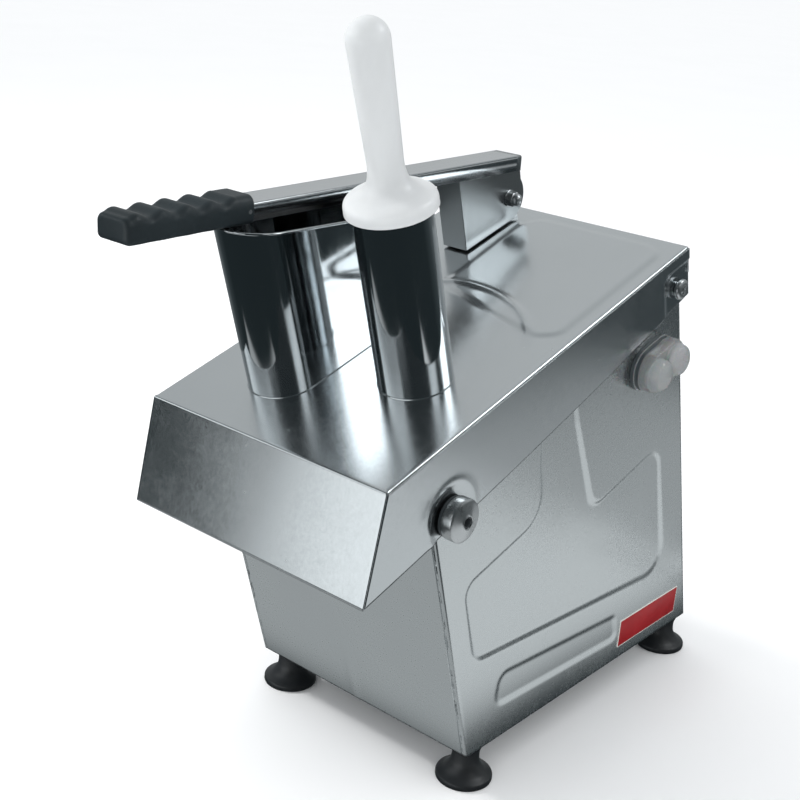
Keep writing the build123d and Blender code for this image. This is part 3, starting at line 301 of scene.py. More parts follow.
class Nodes:
    """Adds and links the nodes of one material or world."""

    def __init__(self, owner, space="Object"):
        owner.use_nodes = True
        self.owner = owner
        self.tree = owner.node_tree
        self.place = self.add("ShaderNodeTexCoord").outputs[space]

    def add(self, kind, **inputs):
        """A new node. An input's name has an underscore for each space."""
        node = self.tree.nodes.new(kind)
        for name, value in inputs.items():
            node.inputs[name.replace("_", " ")].default_value = value
        return node

    def link(self, source, target):
        self.tree.links.new(source, target)

    def noise(self, scale, stretch=(1, 1, 1), turn=(0, 0, 0), detail=4, rough=0.55):
        mapping = self.add("ShaderNodeMapping", Rotation=turn, Scale=stretch)
        node = self.add("ShaderNodeTexNoise", Scale=scale, Detail=detail, Roughness=rough)
        self.link(self.place, mapping.inputs["Vector"])
        self.link(mapping.outputs["Vector"], node.inputs["Vector"])
        return node.outputs["Fac"]

    def ramp(self, source, stops):
        node = self.add("ShaderNodeValToRGB")
        elements = node.color_ramp.elements
        while len(elements) < len(stops):
            elements.new(0.5)
        for element, (where, colour) in zip(elements, stops):
            element.position = where
            element.color = (*colour, 1)
        self.link(source, node.inputs["Fac"])
        return node.outputs["Color"]

    def cloudy(self, source, colour, dark):
        """A colour that falls to a darker share of itself."""
        return self.ramp(source, [(0.3, tuple(c * dark for c in colour)), (0.7, colour)])

    def spread(self, source, low, high, from_low=0.25, from_high=0.75, smooth=False):
        node = self.add("ShaderNodeMapRange", From_Min=from_low, From_Max=from_high, To_Min=low, To_Max=high)
        if smooth:
            node.interpolation_type = "SMOOTHSTEP"
        self.link(source, node.inputs["Value"])
        return node.outputs["Result"]

    def maths(self, kind, *values):
        node = self.add("ShaderNodeMath")
        node.operation = kind
        for socket, value in zip(node.inputs, values):
            if isinstance(value, (int, float)):
                socket.default_value = value
            else:
                self.link(value, socket)
        return node.outputs["Value"]

    def bump(self, height, strength, distance, base=None):
        node = self.add("ShaderNodeBump", Strength=strength, Distance=distance)
        self.link(height, node.inputs["Height"])
        if base is not None:
            self.link(base, node.inputs["Normal"])
        return node.outputs["Normal"]

    def set(self, **values):
        """Fills in the surface shader's inputs and returns the material."""
        names = {"color": "Base Color", "metal": "Metallic", "rough": "Roughness", "ior": "IOR",
                 "specular": "Specular IOR Level", "coat": "Coat Weight", "coat_rough": "Coat Roughness",
                 "transmission": "Transmission Weight", "subsurface": "Subsurface Weight",
                 "sub_scale": "Subsurface Scale", "sub_radius": "Subsurface Radius", "normal": "Normal"}
        shader = self.tree.nodes["Principled BSDF"]
        for key, value in values.items():
            if isinstance(value, bpy.types.NodeSocket):
                self.link(value, shader.inputs[names[key]])
            else:
                shader.inputs[names[key]].default_value = value
        return self.owner


def material_nodes(name):
    return Nodes(bpy.data.materials.new(name))


DECK_TURN = (-TILT, 0, 0)     # turns object coordinates square to the deck


def steel(name, color, rough, grain, grain_turn=(0, 0, 0), grain_depth=0.15):
    """Stainless steel: fine drawn grain, cloudy roughness and faint smudges."""
    n = material_nodes(name)
    lines = n.noise(1.0, grain, grain_turn, detail=3, rough=0.7)
    clouds = n.noise(7.0, detail=5, rough=0.6)
    specks = n.noise(160.0, detail=2)
    wear = n.spread(clouds, -0.05, 0.05)
    grainy = n.spread(lines, -0.035, 0.035)
    total = n.maths("ADD", n.maths("ADD", wear, grainy), rough)
    total = n.maths("ADD", total, n.spread(specks, -0.01, 0.015, 0.5, 0.8))
    tint = n.cloudy(clouds, color, 0.94)
    fine = n.bump(lines, grain_depth, 0.0002)
    dents = n.bump(n.noise(7.0, detail=1), 0.02, 0.004, fine)
    return n.set(color=tint, metal=1.0, rough=total, normal=dents)


def polished(name, color, rough, along=(40, 40, 2)):
    """Mirror-polished steel with faint polishing streaks."""
    n = material_nodes(name)
    streaks = n.noise(6.0, along, DECK_TURN, detail=5, rough=0.6)
    clouds = n.noise(12.0, detail=4)
    level = n.maths("ADD", n.spread(streaks, -0.02, 0.03), n.spread(clouds, rough, rough + 0.03))
    waves = n.bump(n.noise(14.0, (1, 1, 0.35), DECK_TURN, detail=1), 0.05, 0.003)
    fine = n.bump(streaks, 0.03, 0.0002, waves)
    tint = n.cloudy(clouds, color, 0.95)
    return n.set(color=tint, metal=1.0, rough=level, normal=fine)


def turned(name, color, rough):
    """Turned steel: fine tool marks and small bright and dull patches."""
    n = material_nodes(name)
    marks = n.noise(900.0, detail=2)
    clouds = n.noise(60.0, detail=4)
    level = n.maths("ADD", n.spread(clouds, rough - 0.04, rough + 0.06), n.spread(marks, -0.03, 0.03))
    tint = n.cloudy(clouds, color, 0.88)
    return n.set(color=tint, metal=1.0, rough=level, normal=n.bump(marks, 0.04, 0.0002))


def moulded(name, color, rough, grain=500.0, depth=0.2, specular=0.5, vary=0.12):
    """Moulded plastic or rubber with a fine texture and slight wear."""
    n = material_nodes(name)
    pores = n.noise(grain, detail=3, rough=0.6)
    clouds = n.noise(18.0, detail=5)
    tint = n.ramp(clouds, [(0.3, tuple(c * (1 - vary) for c in color)),
                           (0.7, tuple(min(1, c * (1 + vary)) for c in color))])
    level = n.maths("ADD", n.spread(clouds, rough - 0.05, rough + 0.07), n.spread(pores, -0.04, 0.04))
    return n.set(color=tint, rough=level, specular=specular, normal=n.bump(pores, depth, 0.0003))


def milky_plastic():
    """Translucent white polyethylene with faint flow marks."""
    n = material_nodes("milky_plastic")
    flow = n.noise(22.0, (1, 1, 0.25), DECK_TURN, detail=4)
    fine = n.noise(700.0, detail=2)
    tint = n.ramp(flow, [(0.3, (0.60, 0.615, 0.62)), (0.7, (0.68, 0.695, 0.70))])
    level = n.maths("ADD", n.spread(flow, 0.28, 0.38), n.spread(fine, -0.02, 0.03))
    normal = n.bump(fine, 0.05, 0.0002, n.bump(flow, 0.05, 0.002))
    return n.set(color=tint, rough=level, subsurface=0.55, sub_scale=0.012, sub_radius=(1, 1, 0.95),
                 specular=0.45, normal=normal)


def clear_rubber():
    """Frosted clear silicone."""
    n = material_nodes("clear_rubber")
    clouds = n.noise(60.0, detail=4)
    fine = n.noise(900.0, detail=2)
    tint = n.ramp(clouds, [(0.3, (0.84, 0.87, 0.88)), (0.7, (0.93, 0.95, 0.95))])
    level = n.spread(clouds, 0.10, 0.24)
    return n.set(color=tint, rough=level, transmission=0.78, subsurface=0.12, sub_scale=0.006,
                 ior=1.41, specular=0.45, normal=n.bump(fine, 0.05, 0.0002))


def printed_red():
    """Red printed plate under a thin clear coat."""
    n = material_nodes("printed_red")
    clouds = n.noise(40.0, detail=5)
    tint = n.ramp(clouds, [(0.3, (0.27, 0.008, 0.011)), (0.7, (0.33, 0.012, 0.016))])
    return n.set(color=tint, rough=n.spread(clouds, 0.28, 0.4), specular=0.2, coat=0.03, coat_rough=0.2,
                 normal=n.bump(n.noise(600.0), 0.06, 0.0002))


COOL = (0.60, 0.63, 0.645)
LID_STEEL = steel("lid_steel", COOL, 0.22, (420, 300, 300), DECK_TURN, 0.025)
BODY_STEEL = steel("body_steel", (0.64, 0.67, 0.68), 0.27, (420, 420, 500), DECK_TURN, 0.025)
PLAIN_STEEL = steel("plain_steel", (0.50, 0.52, 0.53), 0.38, (300, 300, 300), grain_depth=0.15)
BLADE_STEEL = steel("blade_steel", (0.66, 0.68, 0.69), 0.2, (30, 900, 900), grain_depth=0.1)
POLISHED = polished("polished_steel", (0.56, 0.585, 0.60), 0.055)
ARM_STEEL = polished("arm_steel", (0.58, 0.60, 0.615), 0.16, (60, 2, 60))
# The cheek box is the arm's polished steel with a much darker colour: painted shade for the box in the arm's
# shadow.
SHADED_CHEEK_STEEL = polished("shaded_cheek_steel", (0.35, 0.37, 0.38), 0.30, (40, 40, 4))
TURNED = turned("turned_steel", (0.58, 0.60, 0.61), 0.29)
CAST = steel("cast_aluminium", (0.60, 0.61, 0.62), 0.42, (200, 200, 200), grain_depth=0.4)
GRIP_RUBBER = moulded("grip_rubber", (0.012, 0.020, 0.024), 0.46, 420.0, 0.28, 0.42, 0.2)
FOOT_RUBBER = moulded("foot_rubber", (0.012, 0.014, 0.016), 0.40, 500.0, 0.15, 0.5)
SEAL_RUBBER = moulded("seal_rubber", (0.02, 0.021, 0.023), 0.6, 300.0)
DARK_PLASTIC = moulded("dark_plastic", (0.035, 0.042, 0.046), 0.42)
BEZEL_GREY = moulded("bezel_grey", (0.055, 0.068, 0.073), 0.4)
BUTTON_GREEN = moulded("button_green", (0.05, 0.09, 0.08), 0.3)
BUTTON_RED = moulded("button_red", (0.30, 0.16, 0.16), 0.35)
COPPER = moulded("winding_copper", (0.42, 0.20, 0.10), 0.4)
CREAM = moulded("cream_can", (0.70, 0.70, 0.66), 0.35)
MILKY = milky_plastic()
CLEAR = clear_rubber()
RED = printed_red()

SLOT_MATERIALS = {
    "casing_steel": BODY_STEEL, "lid_steel": LID_STEEL, "polished_steel": POLISHED,
    "turned_steel": TURNED, "sheet_zinc": PLAIN_STEEL, "cast_aluminium": CAST,
    "blade_steel": BLADE_STEEL, "grip_rubber": GRIP_RUBBER, "foot_rubber": FOOT_RUBBER,
    "white_plastic": MILKY, "dark_plastic": DARK_PLASTIC, "seal_rubber": SEAL_RUBBER,
    "bezel_grey": BEZEL_GREY, "clear_silicone": CLEAR, "button_green": BUTTON_GREEN,
    "button_red": BUTTON_RED, "winding_copper": COPPER, "capacitor_white": CREAM,
    "label_red": RED,
}
for part in frame["record"]["subparts"]:
    for material_slot in frame["nodes"][part["node"]].material_slots:
        material_slot.material = SLOT_MATERIALS[part["material_slot"]]


# ---- pressed shapes ----

def step_profile(distance, width):
    """0 outside a pressed outline, 1 inside, with an S-shaped shoulder of the given width."""
    return smooth_step(distance, -width / 2, width / 2)


def ridge(distance, width):
    """A rounded bead that follows a line."""
    return np.exp(-(distance / width) ** 2)


PANEL_RISE, PANEL_SHOULDER = 1.3, 8.0
ARC_V, ARC_R, ARC_RISE, ARC_WIDTH = 150.0, 105.0, 1.5, 3.4
LID_PANEL = rounded([(-28, 246), (90, 213), (106, 224), (106, 372), (88, 381), (-22, 381), (-34, 366)],
                    [20, 12, 16, 16, 14, 16, 16])


def lid_height(x, v):
    """Pressed relief of the lid's top: a panel at the rear right and an arc behind the inlets."""
    panel = step_profile(signed_distance(LID_PANEL, x, v), PANEL_SHOULDER) * PANEL_RISE
    angle = np.degrees(np.arctan2(v - ARC_V, x))
    fade = smooth_step(angle, 22, 44) * (1 - smooth_step(angle, 128, 146))
    swell = ridge(np.hypot(x, v - ARC_V) - ARC_R, ARC_WIDTH) * fade * ARC_RISE
    return panel + swell


RECESS_DEPTH, RECESS_SHOULDER = 2.0, 5.4
RECESS = rounded([(182, -30), (173, -90), (170, -137), (67, -137), (67, -214), (345, -321),
                  (345, -177), (238, -177), (225, -80), (223, -30)],
                 [0, 40, 26, 14, 18, 22, 20, 18, 40, 0])
RIB_DEPTH, RIB_SHOULDER = 1.2, 6.0
RIB_FALL = 166 * math.tan(TILT + math.radians(4.2))
RIB = rounded([(96, -251.5), (262, -251.5 - RIB_FALL), (262, -278.5 - RIB_FALL), (84, -278.5)],
              [11, 6, 6, 11])


def side_height(v, n):
    """Pressed relief of the body's sides: the panel is sunk, and the band under it."""
    sunk = step_profile(signed_distance(RECESS, v, n), RECESS_SHOULDER) * RECESS_DEPTH
    band = step_profile(signed_distance(RIB, v, n), RIB_SHOULDER) * RIB_DEPTH
    return -sunk - band


def skirt_height(v, n, right):
    """Relief of the lid's skirts: a stamped seat at the hinge, a dished seat at the knob."""
    seat = rounded([(357, -13), (430, -13), (430, -80), (357, -80)], [9, 0, 0, 0])
    relief = -step_profile(signed_distance(seat, v, n), 4.5) * 1.6
    if right:
        away = np.hypot(v - KNOB_V, n - KNOB_N)
        relief = relief - (1 - smooth_step(away, 19.5, 26.0)) * 1.4
        relief = relief + ridge(away - 27.5, 3.0) * 0.5
    return relief


# ---- lid ----

def skirt_low(v):
    """The skirt's lower edge: the arc through its front corner, middle and rear corner."""
    points = ((-APRON_LEAN, -APRON_DEPTH), (SKIRT_MIDDLE_V, SKIRT_MIDDLE_N), (LID_LENGTH, SKIRT_REAR_N))
    (ax, ay), (bx, by), (cx, cy) = points
    d = 2 * (ax * (by - cy) + bx * (cy - ay) + cx * (ay - by))
    ux = ((ax**2 + ay**2) * (by - cy) + (bx**2 + by**2) * (cy - ay) + (cx**2 + cy**2) * (ay - by)) / d
    uy = ((ax**2 + ay**2) * (cx - bx) + (bx**2 + by**2) * (ax - cx) + (cx**2 + cy**2) * (bx - ax)) / d
    radius = math.hypot(ax - ux, ay - uy)
    side = 1 if ay > uy else -1
    return uy + side * np.sqrt(radius**2 - (v - ux) ** 2)


def lid_profile():
    """The lid's lengthwise section, from the apron's lower edge over the top to the rear lip."""
    corner = [(-APRON_LEAN, -APRON_DEPTH), (0, 0), (LID_LENGTH, 0), (LID_LENGTH, -LIP_DEPTH)]
    line = rounded(corner, [0, FOLD_R, FOLD_R, 0], steps=8, closed=False)
    dense = [line[0]]
    for a, b in zip(line, line[1:]):
        steps = max(1, int(math.dist(a, b) / 2.0))
        for k in range(1, steps + 1):
            dense.append((a[0] + (b[0] - a[0]) * k / steps, a[1] + (b[1] - a[1]) * k / steps))
    return np.array(dense)


def hopper_outline(grow=0.0):
    """Outline of the D-shaped hopper, grown outward."""
    corner_x = HOPPER_FLAT - HOPPER_CORNER
    wide_x = corner_x + math.sqrt((HOPPER_ROUND - HOPPER_CORNER) ** 2 - HOPPER_HALF ** 2)
    join = math.degrees(math.atan2(HOPPER_HALF, corner_x - wide_x))
    rear = (corner_x, HOPPER_V + HOPPER_HALF)
    front = (corner_x, HOPPER_V - HOPPER_HALF)
    small, large = HOPPER_CORNER + grow, HOPPER_ROUND + grow
    flat = [(HOPPER_FLAT + grow, HOPPER_V - HOPPER_HALF + 2 * HOPPER_HALF * k / 24) for k in range(1, 24)]
    line = flat + arc(rear, small, 0, join, 28)
    line += arc((wide_x, HOPPER_V), large, join, 360 - join, 28)[1:-1]
    line += arc(front, small, -join, 0, 28)
    return line


def tube_circle(grow=0.0, steps=160):
    """Outline of the feed tube, grown outward."""
    return arc((TUBE_X, TUBE_V), TUBE_R + grow, 0, 360, steps)[:-1]


def make_lid_top():
    """Leaning front, top and rear lip of the lid, one embossed strip with the two inlets cut out."""
    profile = lid_profile()
    ahead = np.gradient(profile, axis=0)
    ahead /= np.linalg.norm(ahead, axis=1)[:, None]
    normals = np.stack([-ahead[:, 1], ahead[:, 0]], axis=1)
    radius = np.where(profile[:, 0] > 1.5, FOLD_R, APRON_EDGE_R)
    flat_x = np.linspace(-LID_HALF + FOLD_R, LID_HALF - FOLD_R, 121)
    turns = [math.radians(90 - 15 * k) for k in range(6)]
    rows = []
    for (v, n), (nv, nn), r in zip(profile, normals, radius):
        left = [(-(LID_HALF - r) - r * math.sin(t), r * (1 - math.cos(t))) for t in turns]
        flat = np.where(flat_x < 0, np.maximum(flat_x, -LID_HALF + r), np.minimum(flat_x, LID_HALF - r))
        flat = flat * (LID_HALF - r) / (LID_HALF - FOLD_R)
        height = lid_height(flat, np.full(flat.shape, v)) if nn > 0.999 else np.zeros(flat.shape)
        row = [(x, v - nv * sink, n - nn * sink) for x, sink in left]
        row += [(x, v + nv * h, n + nn * h) for x, h in zip(flat, height)]
        row += [(-x, v - nv * sink, n - nn * sink) for x, sink in reversed(left)]
        rows.append(row)
    top = add_piece("lid_top", *grid(rows), LID_STEEL, "lid", "lid_steel", sharp=50, replaces=("lid_shell",))
    solidify(top)
    inlets = (hopper_outline(-0.7), tube_circle(-0.7, 96))
    cut(top, *[prism(outline, -20, 20) for outline in inlets])


def make_lid_skirt(side):
    """One side of the lid, with its stamped seats; the right one is opened for the lock knob's stud."""
    lean = math.hypot(APRON_LEAN, APRON_DEPTH)
    inset = (APRON_EDGE_R + SKIRT_SEAM) * lean / APRON_DEPTH
    rows = []
    for share in np.concatenate([[0, 0.01], np.linspace(0.03, 1, 44)]):
        along = np.linspace(0, 1, 200)
        v = inset + (LID_LENGTH - 0.1 - inset) * along
        for _ in range(4):
            depth = FOLD_R + (-skirt_low(np.clip(v, -APRON_LEAN, LID_LENGTH)) - FOLD_R) * share
            front = -APRON_LEAN * depth / APRON_DEPTH + inset
            v = front + (LID_LENGTH - front) * along
        height = skirt_height(v, -depth, side > 0) * smooth_step(share, 0.0, 0.02)
        rows.append([(side * (LID_HALF + h), a, -d) for h, a, d in zip(height, v, depth)])
    name = "lid_skirt_right" if side > 0 else "lid_skirt_left"
    skirt = add_piece(name, *grid(rows), LID_STEEL, "lid", "lid_steel", sharp=50)
    face_out(skirt, lambda face: side * face.normal.x)
    solidify(skirt)
    if side > 0:
        cut(skirt, prism(rectangle(100, 130, KNOB_V - 7, KNOB_V + 7), -90, KNOB_N))
        cut(skirt, moved(lathe([(7.0, 0), (7.0, 40)], 40), to_right(100, KNOB_V, KNOB_N)))


def weld_bead(name, outline):
    """A small weld fillet round the foot of an inlet."""
    rows = []
    for k in range(9):
        a = 2 * math.pi * k / 8
        grown = outline(WELD_R * math.cos(a))
        rows.append([(x, v, 0.15 + WELD_R * math.sin(a)) for x, v in grown])
    add_piece(name, *grid(rows, close_columns=True), LID_STEEL, "lid", "lid_steel")


def make_hopper():
    """Hopper wall with its level rolled rim, and the weld at its foot."""
    def rim(v):
        return HOPPER_RIM - SIN_T / COS_T * (v - 55.0)

    outer = hopper_outline(0.0)
    inner = hopper_outline(-SHEET)
    rows = []
    for share in np.linspace(0, 1, 42):
        rows.append([(x, v, INLET_LOW + (rim(v) - 1.0 - INLET_LOW) * share) for x, v in inner])
    bead = 1.25
    for k in range(13):
        a = math.radians(215 - 250 * k / 12)
        ring = hopper_outline(-SHEET / 2 + bead * math.cos(a))
        rows.append([(x, v, rim(v) - bead + bead * math.sin(a) - 0.05) for x, v in ring])
    for share in np.linspace(1, 0, 42):
        rows.append([(x, v, INLET_LOW + (rim(v) - 2.0 - INLET_LOW) * share) for x, v in outer])
    add_piece("hopper_wall", *grid(rows, close_rows=True, close_columns=True), POLISHED, "lid",
              "polished_steel", sharp=50, replaces=("large_hopper",))
    weld_bead("hopper_weld", hopper_outline)


def make_tube():
    """Feed tube: a plain polished tube, with the weld at its foot."""
    inner = TUBE_R - SHEET
    profile = [(inner, INLET_LOW)]
    profile += [(inner, INLET_LOW + (TUBE_TOP - 1 - INLET_LOW) * k / 30) for k in range(1, 31)]
    profile += [(TUBE_R - SHEET / 2 + SHEET / 2 * math.cos(math.radians(a)),
                 TUBE_TOP - SHEET / 2 + SHEET / 2 * math.sin(math.radians(a))) for a in range(180, -1, -30)]
    profile += [(TUBE_R, TUBE_TOP - 1 - (TUBE_TOP - 1 - INLET_LOW) * k / 30) for k in range(0, 31)]
    circle = [2 * math.pi * k / 160 for k in range(160)]
    rows = []
    for radius, height in profile:
        rows.append([(TUBE_X + radius * math.cos(a), TUBE_V + radius * math.sin(a), height) for a in circle])
    add_piece("feed_tube_wall", *grid(rows, close_rows=True, close_columns=True), POLISHED, "lid",
              "polished_steel", sharp=50, replaces=("feed_tube",))
    weld_bead("feed_tube_weld", tube_circle)


# ---- body ----

def body_plan():
    """The body's outline from its left rear edge to its right rear edge: (x, v, top, kind) at each point.

    kind is -1 on the left side, 1 on the right side, 2 on the front and 0 on the folds."""
    near, far = BODY_FRONT + BODY_FOLD_R, BODY_REAR
    middle = BODY_HALF - BODY_FOLD_R
    left = [(-BODY_HALF, v, BODY_TOP, -1) for v in np.linspace(far, near, 170)]
    left += [(x, v, BODY_TOP, 0) for x, v in arc((-middle, near), BODY_FOLD_R, 195, 270, 5)]
    left.append((-MOUTH_HALF, BODY_FRONT, BODY_TOP, 0))
    seam = [(MOUTH_HALF, 0.0), (MOUTH_HALF - 0.5, 0.8), (MOUTH_HALF - 0.9, 0.8), (MOUTH_HALF - 1.4, 0.0)]
    left += [(-x, BODY_FRONT + depth, MOUTH_N, 0) for x, depth in seam]
    panel = [(x, BODY_FRONT, MOUTH_N, 2) for x in np.linspace(-MOUTH_HALF + 1.6, MOUTH_HALF - 1.6, 90)]
    right = [(x, BODY_FRONT + depth, MOUTH_N, 0) for x, depth in reversed(seam)]
    right.append((MOUTH_HALF, BODY_FRONT, BODY_TOP, 0))
    right += [(x, v, BODY_TOP, 0) for x, v in arc((middle, near), BODY_FOLD_R, 270, 345, 5)]
    right += [(BODY_HALF, v, BODY_TOP, 1) for v in np.linspace(near, far, 170)]
    return left + panel + right


def make_body():
    """Front and sides of the body, one folded sheet with its pressed panels."""
    x, v, top, kind = (np.array(column) for column in zip(*body_plan()))
    low = (BODY_BOTTOM - v * SIN_T) / COS_T
    rows = []
    for share in np.linspace(0, 1, 175):
        n = top + (low - top) * share
        press = np.where(np.abs(kind) == 1, kind * side_height(v, n), 0)
        crease = ridge(x + 4.0, 5.0) * smooth_step(-n, 150, 200) * 0.35 * (kind == 2)
        rows.append([(a + d, b - c, e) for a, d, b, c, e in zip(x, press, v, crease, n)])
    body = add_piece("body_sheet", *grid(rows), BODY_STEEL, "housing", "casing_steel", sharp=50,
                     replaces=("body_wrap",))
    face_out(body, lambda face: face.normal.x * (1 if face.center.x > ORIGIN.x else -1))
    solidify(body, even=False)
    slot = rounded(rectangle(SWITCH_V - 24, SWITCH_V + 24, SWITCH_N - 14, SWITCH_N + 14), 13.9)
    hole = stack([[(depth, a, b) for a, b in slot] for depth in (105, 130)])
    stud = moved(lathe([(5.0, 0), (5.0, 30)], 32), to_right(100, KNOB_V, KNOB_N))
    cut(body, hole, stud)


# ---- lever ----

ARM_PLACE = DECK @ Matrix.Translation((ARM_X, 0, 0))


def make_arm():
    """Channel arm with rounded folds, drawn along its own slope."""
    length = (ARM_REAR - GRIP_FRONT - 8) / math.cos(ARM_SLOPE)
    start = GRIP_FRONT + 8
    place = on_arm(start, arm_top(start))
    outside = rounded([(-ARM_HALF, -ARM_HEIGHT), (-ARM_HALF, 0), (ARM_HALF, 0), (ARM_HALF, -ARM_HEIGHT)],
                      [0, 2.2, 2.2, 0], steps=7, closed=False)
    rows = [[(x, length * k / 60, z) for x, z in outside] for k in range(61)]
    arm = add_piece("arm_channel", *grid(rows), ARM_STEEL, "lever", "polished_steel", place, 50,
                    replaces=("lever_arm",))
    face_out(arm, lambda face: face.normal.z)
    solidify(arm)
    inner = ARM_HALF - 0.3
    end = rounded([(-inner, -ARM_HEIGHT), (-inner, -0.3), (inner, -0.3), (inner, -ARM_HEIGHT)],
                  [0, 2, 2, 0], closed=False)
    plate = stack([[(x, y, z) for x, z in end] for y in (length - SHEET, length)])
    close = add_piece("arm_end_plate", *plate, ARM_STEEL, "lever", "polished_steel", place, 50)
    bevel(close, 0.35)


def make_cheeks():
    """The folded box under the arm that turns on the pivot."""
    web = SHEET / math.cos(ARM_SLOPE)
    rear_v = ARM_REAR - SHEET - 0.1
    rear_a = math.degrees(math.acos((rear_v - PIVOT_V) / CHEEK_R))
    curve = arc((PIVOT_V, PIVOT_N), CHEEK_R, rear_a, -90, 26)
    outline = [(CHEEK_FRONT, PIVOT_N - CHEEK_R), (CHEEK_FRONT, arm_top(CHEEK_FRONT) - web),
               (rear_v, arm_top(rear_v) - web)] + curve
    pieces = []
    for side in (-1, 1):
        faces_x = (side * (CHEEK_HALF - SHEET), side * CHEEK_HALF)
        pieces.append(stack([[(x, v, n) for v, n in outline] for x in faces_x]))
    half = CHEEK_HALF - 0.2
    wall = rectangle(-half, half, PIVOT_N - CHEEK_R, arm_top(CHEEK_FRONT) - web)
    pieces.append(stack([[(x, v, n) for x, n in wall] for v in (CHEEK_FRONT - 0.3, CHEEK_FRONT + SHEET)]))
    # The darker steel of the box paints the shade that falls under the arm.
    cheeks = add_piece("cheek_box", *merge(*pieces), SHADED_CHEEK_STEEL, "lever", "polished_steel", ARM_PLACE, 40,
                       replaces=("lever_cheeks",))
    bevel(cheeks, 0.4, 3)
    beads = []
    for k in range(11):
        v = CHEEK_FRONT + 3 + k * 3.6
        n = arm_top(v) - ARM_HEIGHT / math.cos(ARM_SLOPE)
        size = 1.1 + 0.25 * math.sin(k * 2.1)
        bulge = [(r, h * 0.8) for r, h in arc((0, 0), size, -75, 75, 6)]
        ball = lathe([(0, -size)] + bulge + [(0, size * 0.8)], 14)
        spot = Matrix.Translation((CHEEK_HALF + 0.2, v, n)) @ Matrix.Scale(1.9, 4, (0, 1, 0))
        beads.append(moved(ball, spot))
    add_piece("arm_weld", *merge(*beads), TURNED, "lever", "turned_steel", ARM_PLACE, 80)


def hexagon(radius, turn):
    angles = [math.radians(60 * k) + turn for k in range(6)]
    return [(radius * math.cos(a), radius * math.sin(a)) for a in angles]


def make_pivot():
    """Washer, hexagon and dome of the pivot's cap nut."""
    place = DECK @ to_right(ARM_X + CHEEK_HALF, PIVOT_V, PIVOT_N)
    washer = lathe([(0, 0), (7.3, 0), (7.6, 0.25), (7.6, 1.15), (7.3, 1.4), (0, 1.4)], 48)
    rings = []
    for height, grow in ((1.4, -0.35), (1.75, 0), (6.6, 0), (7.4, -1.0)):
        ring = rounded(hexagon(7.0 + grow, 0.35), 0.8, 3)
        rings.append([(x, y, height) for x, y in ring])
    angles = [math.radians(a) for a in range(0, 91, 10)]
    dome = lathe([(5.6, 7.2)] + [(5.5 * math.cos(a), 8.4 + 4.6 * math.sin(a)) for a in angles], 40)
    add_piece("pivot_cap_nut", *merge(washer, stack(rings), dome), TURNED, "lever", "turned_steel", place, 35,
              replaces=("lever_pivot_nut",))


def make_grip():
    """Rubber grip: rounded bar with finger waves that fade down its sides."""
    length = (GRIP_REAR - GRIP_FRONT) / math.cos(ARM_SLOPE)
    place = on_arm(GRIP_FRONT + 0.1, arm_top(GRIP_FRONT))
    half, low, high = 17.0, -15.0, 4.1
    pitch, wave = 21.9, 1.9
    middle, rise = (low + high) / 2, (high - low) / 2
    section = dense_ring(rounded(rectangle(-half, half, low, high), [3.5, 3.5, 6.5, 6.5], 9), 1.3)
    front_r, rear_r = 4.5, 2.0
    turns = [math.radians(a) for a in range(0, 91, 15)]
    stations = [(front_r * (1 - math.cos(a)), front_r * (1 - math.sin(a))) for a in turns]
    y = front_r
    while y < length - rear_r:
        y += 0.9
        stations.append((min(y, length - rear_r), 0.0))
    stations += [(length - rear_r + rear_r * math.sin(a), rear_r * (1 - math.cos(a))) for a in turns[1:]]
    rows = []
    for y, inset in stations:
        ring = []
        last_wave = smooth_step(np.array(y), 4.45 * pitch, 4.55 * pitch)
        phase = math.cos(2 * math.pi * (y / pitch - 0.5)) * (1 - last_wave) + last_wave * 0.85
        fade = float(smooth_step(np.array(y), 0.5, 8.0))
        for base_x, base_z in section:
            x = base_x * (half - inset) / half
            z = middle + (base_z - middle) * (rise - inset) / rise
            near_top = float(smooth_step(np.array(z), -6.0, 3.0))
            dip = wave * phase * near_top * fade
            squeeze = 1 + 0.018 * phase * (1 - near_top) * fade * (1 if abs(x) > 12 else 0)
            ring.append((x * squeeze, y, z + dip))
        rows.append(ring)
    add_piece("rubber_grip", *stack(rows), GRIP_RUBBER, "lever", "grip_rubber", place, 60,
              replaces=("lever_grip",))


def dense_ring(points, step):
    """The closed outline with more points on its straight runs."""
    out = []
    for a, b in zip(points, points[1:] + points[:1]):
        count = max(1, int(math.dist(a, b) / step))
        out += [(a[0] + (b[0] - a[0]) * k / count, a[1] + (b[1] - a[1]) * k / count) for k in range(count)]
    return out


# ---- pestle, knob, feet, switch ----

def smooth_profile(points, steps=6):
    """A Catmull-Rom curve through (radius, height) points."""
    def blend(a, b, c, d, t):
        bend = 2 * a - 5 * b + 4 * c - d
        return 0.5 * (2 * b + (c - a) * t + bend * t * t + (3 * b - a - 3 * c + d) * t ** 3)

    padded = [points[0]] + list(points) + [points[-1]]
    out = []
    for corners in zip(padded, padded[1:], padded[2:], padded[3:]):
        out += [tuple(blend(*axis, k / steps) for axis in zip(*corners)) for k in range(steps)]
    return out + [points[-1]]


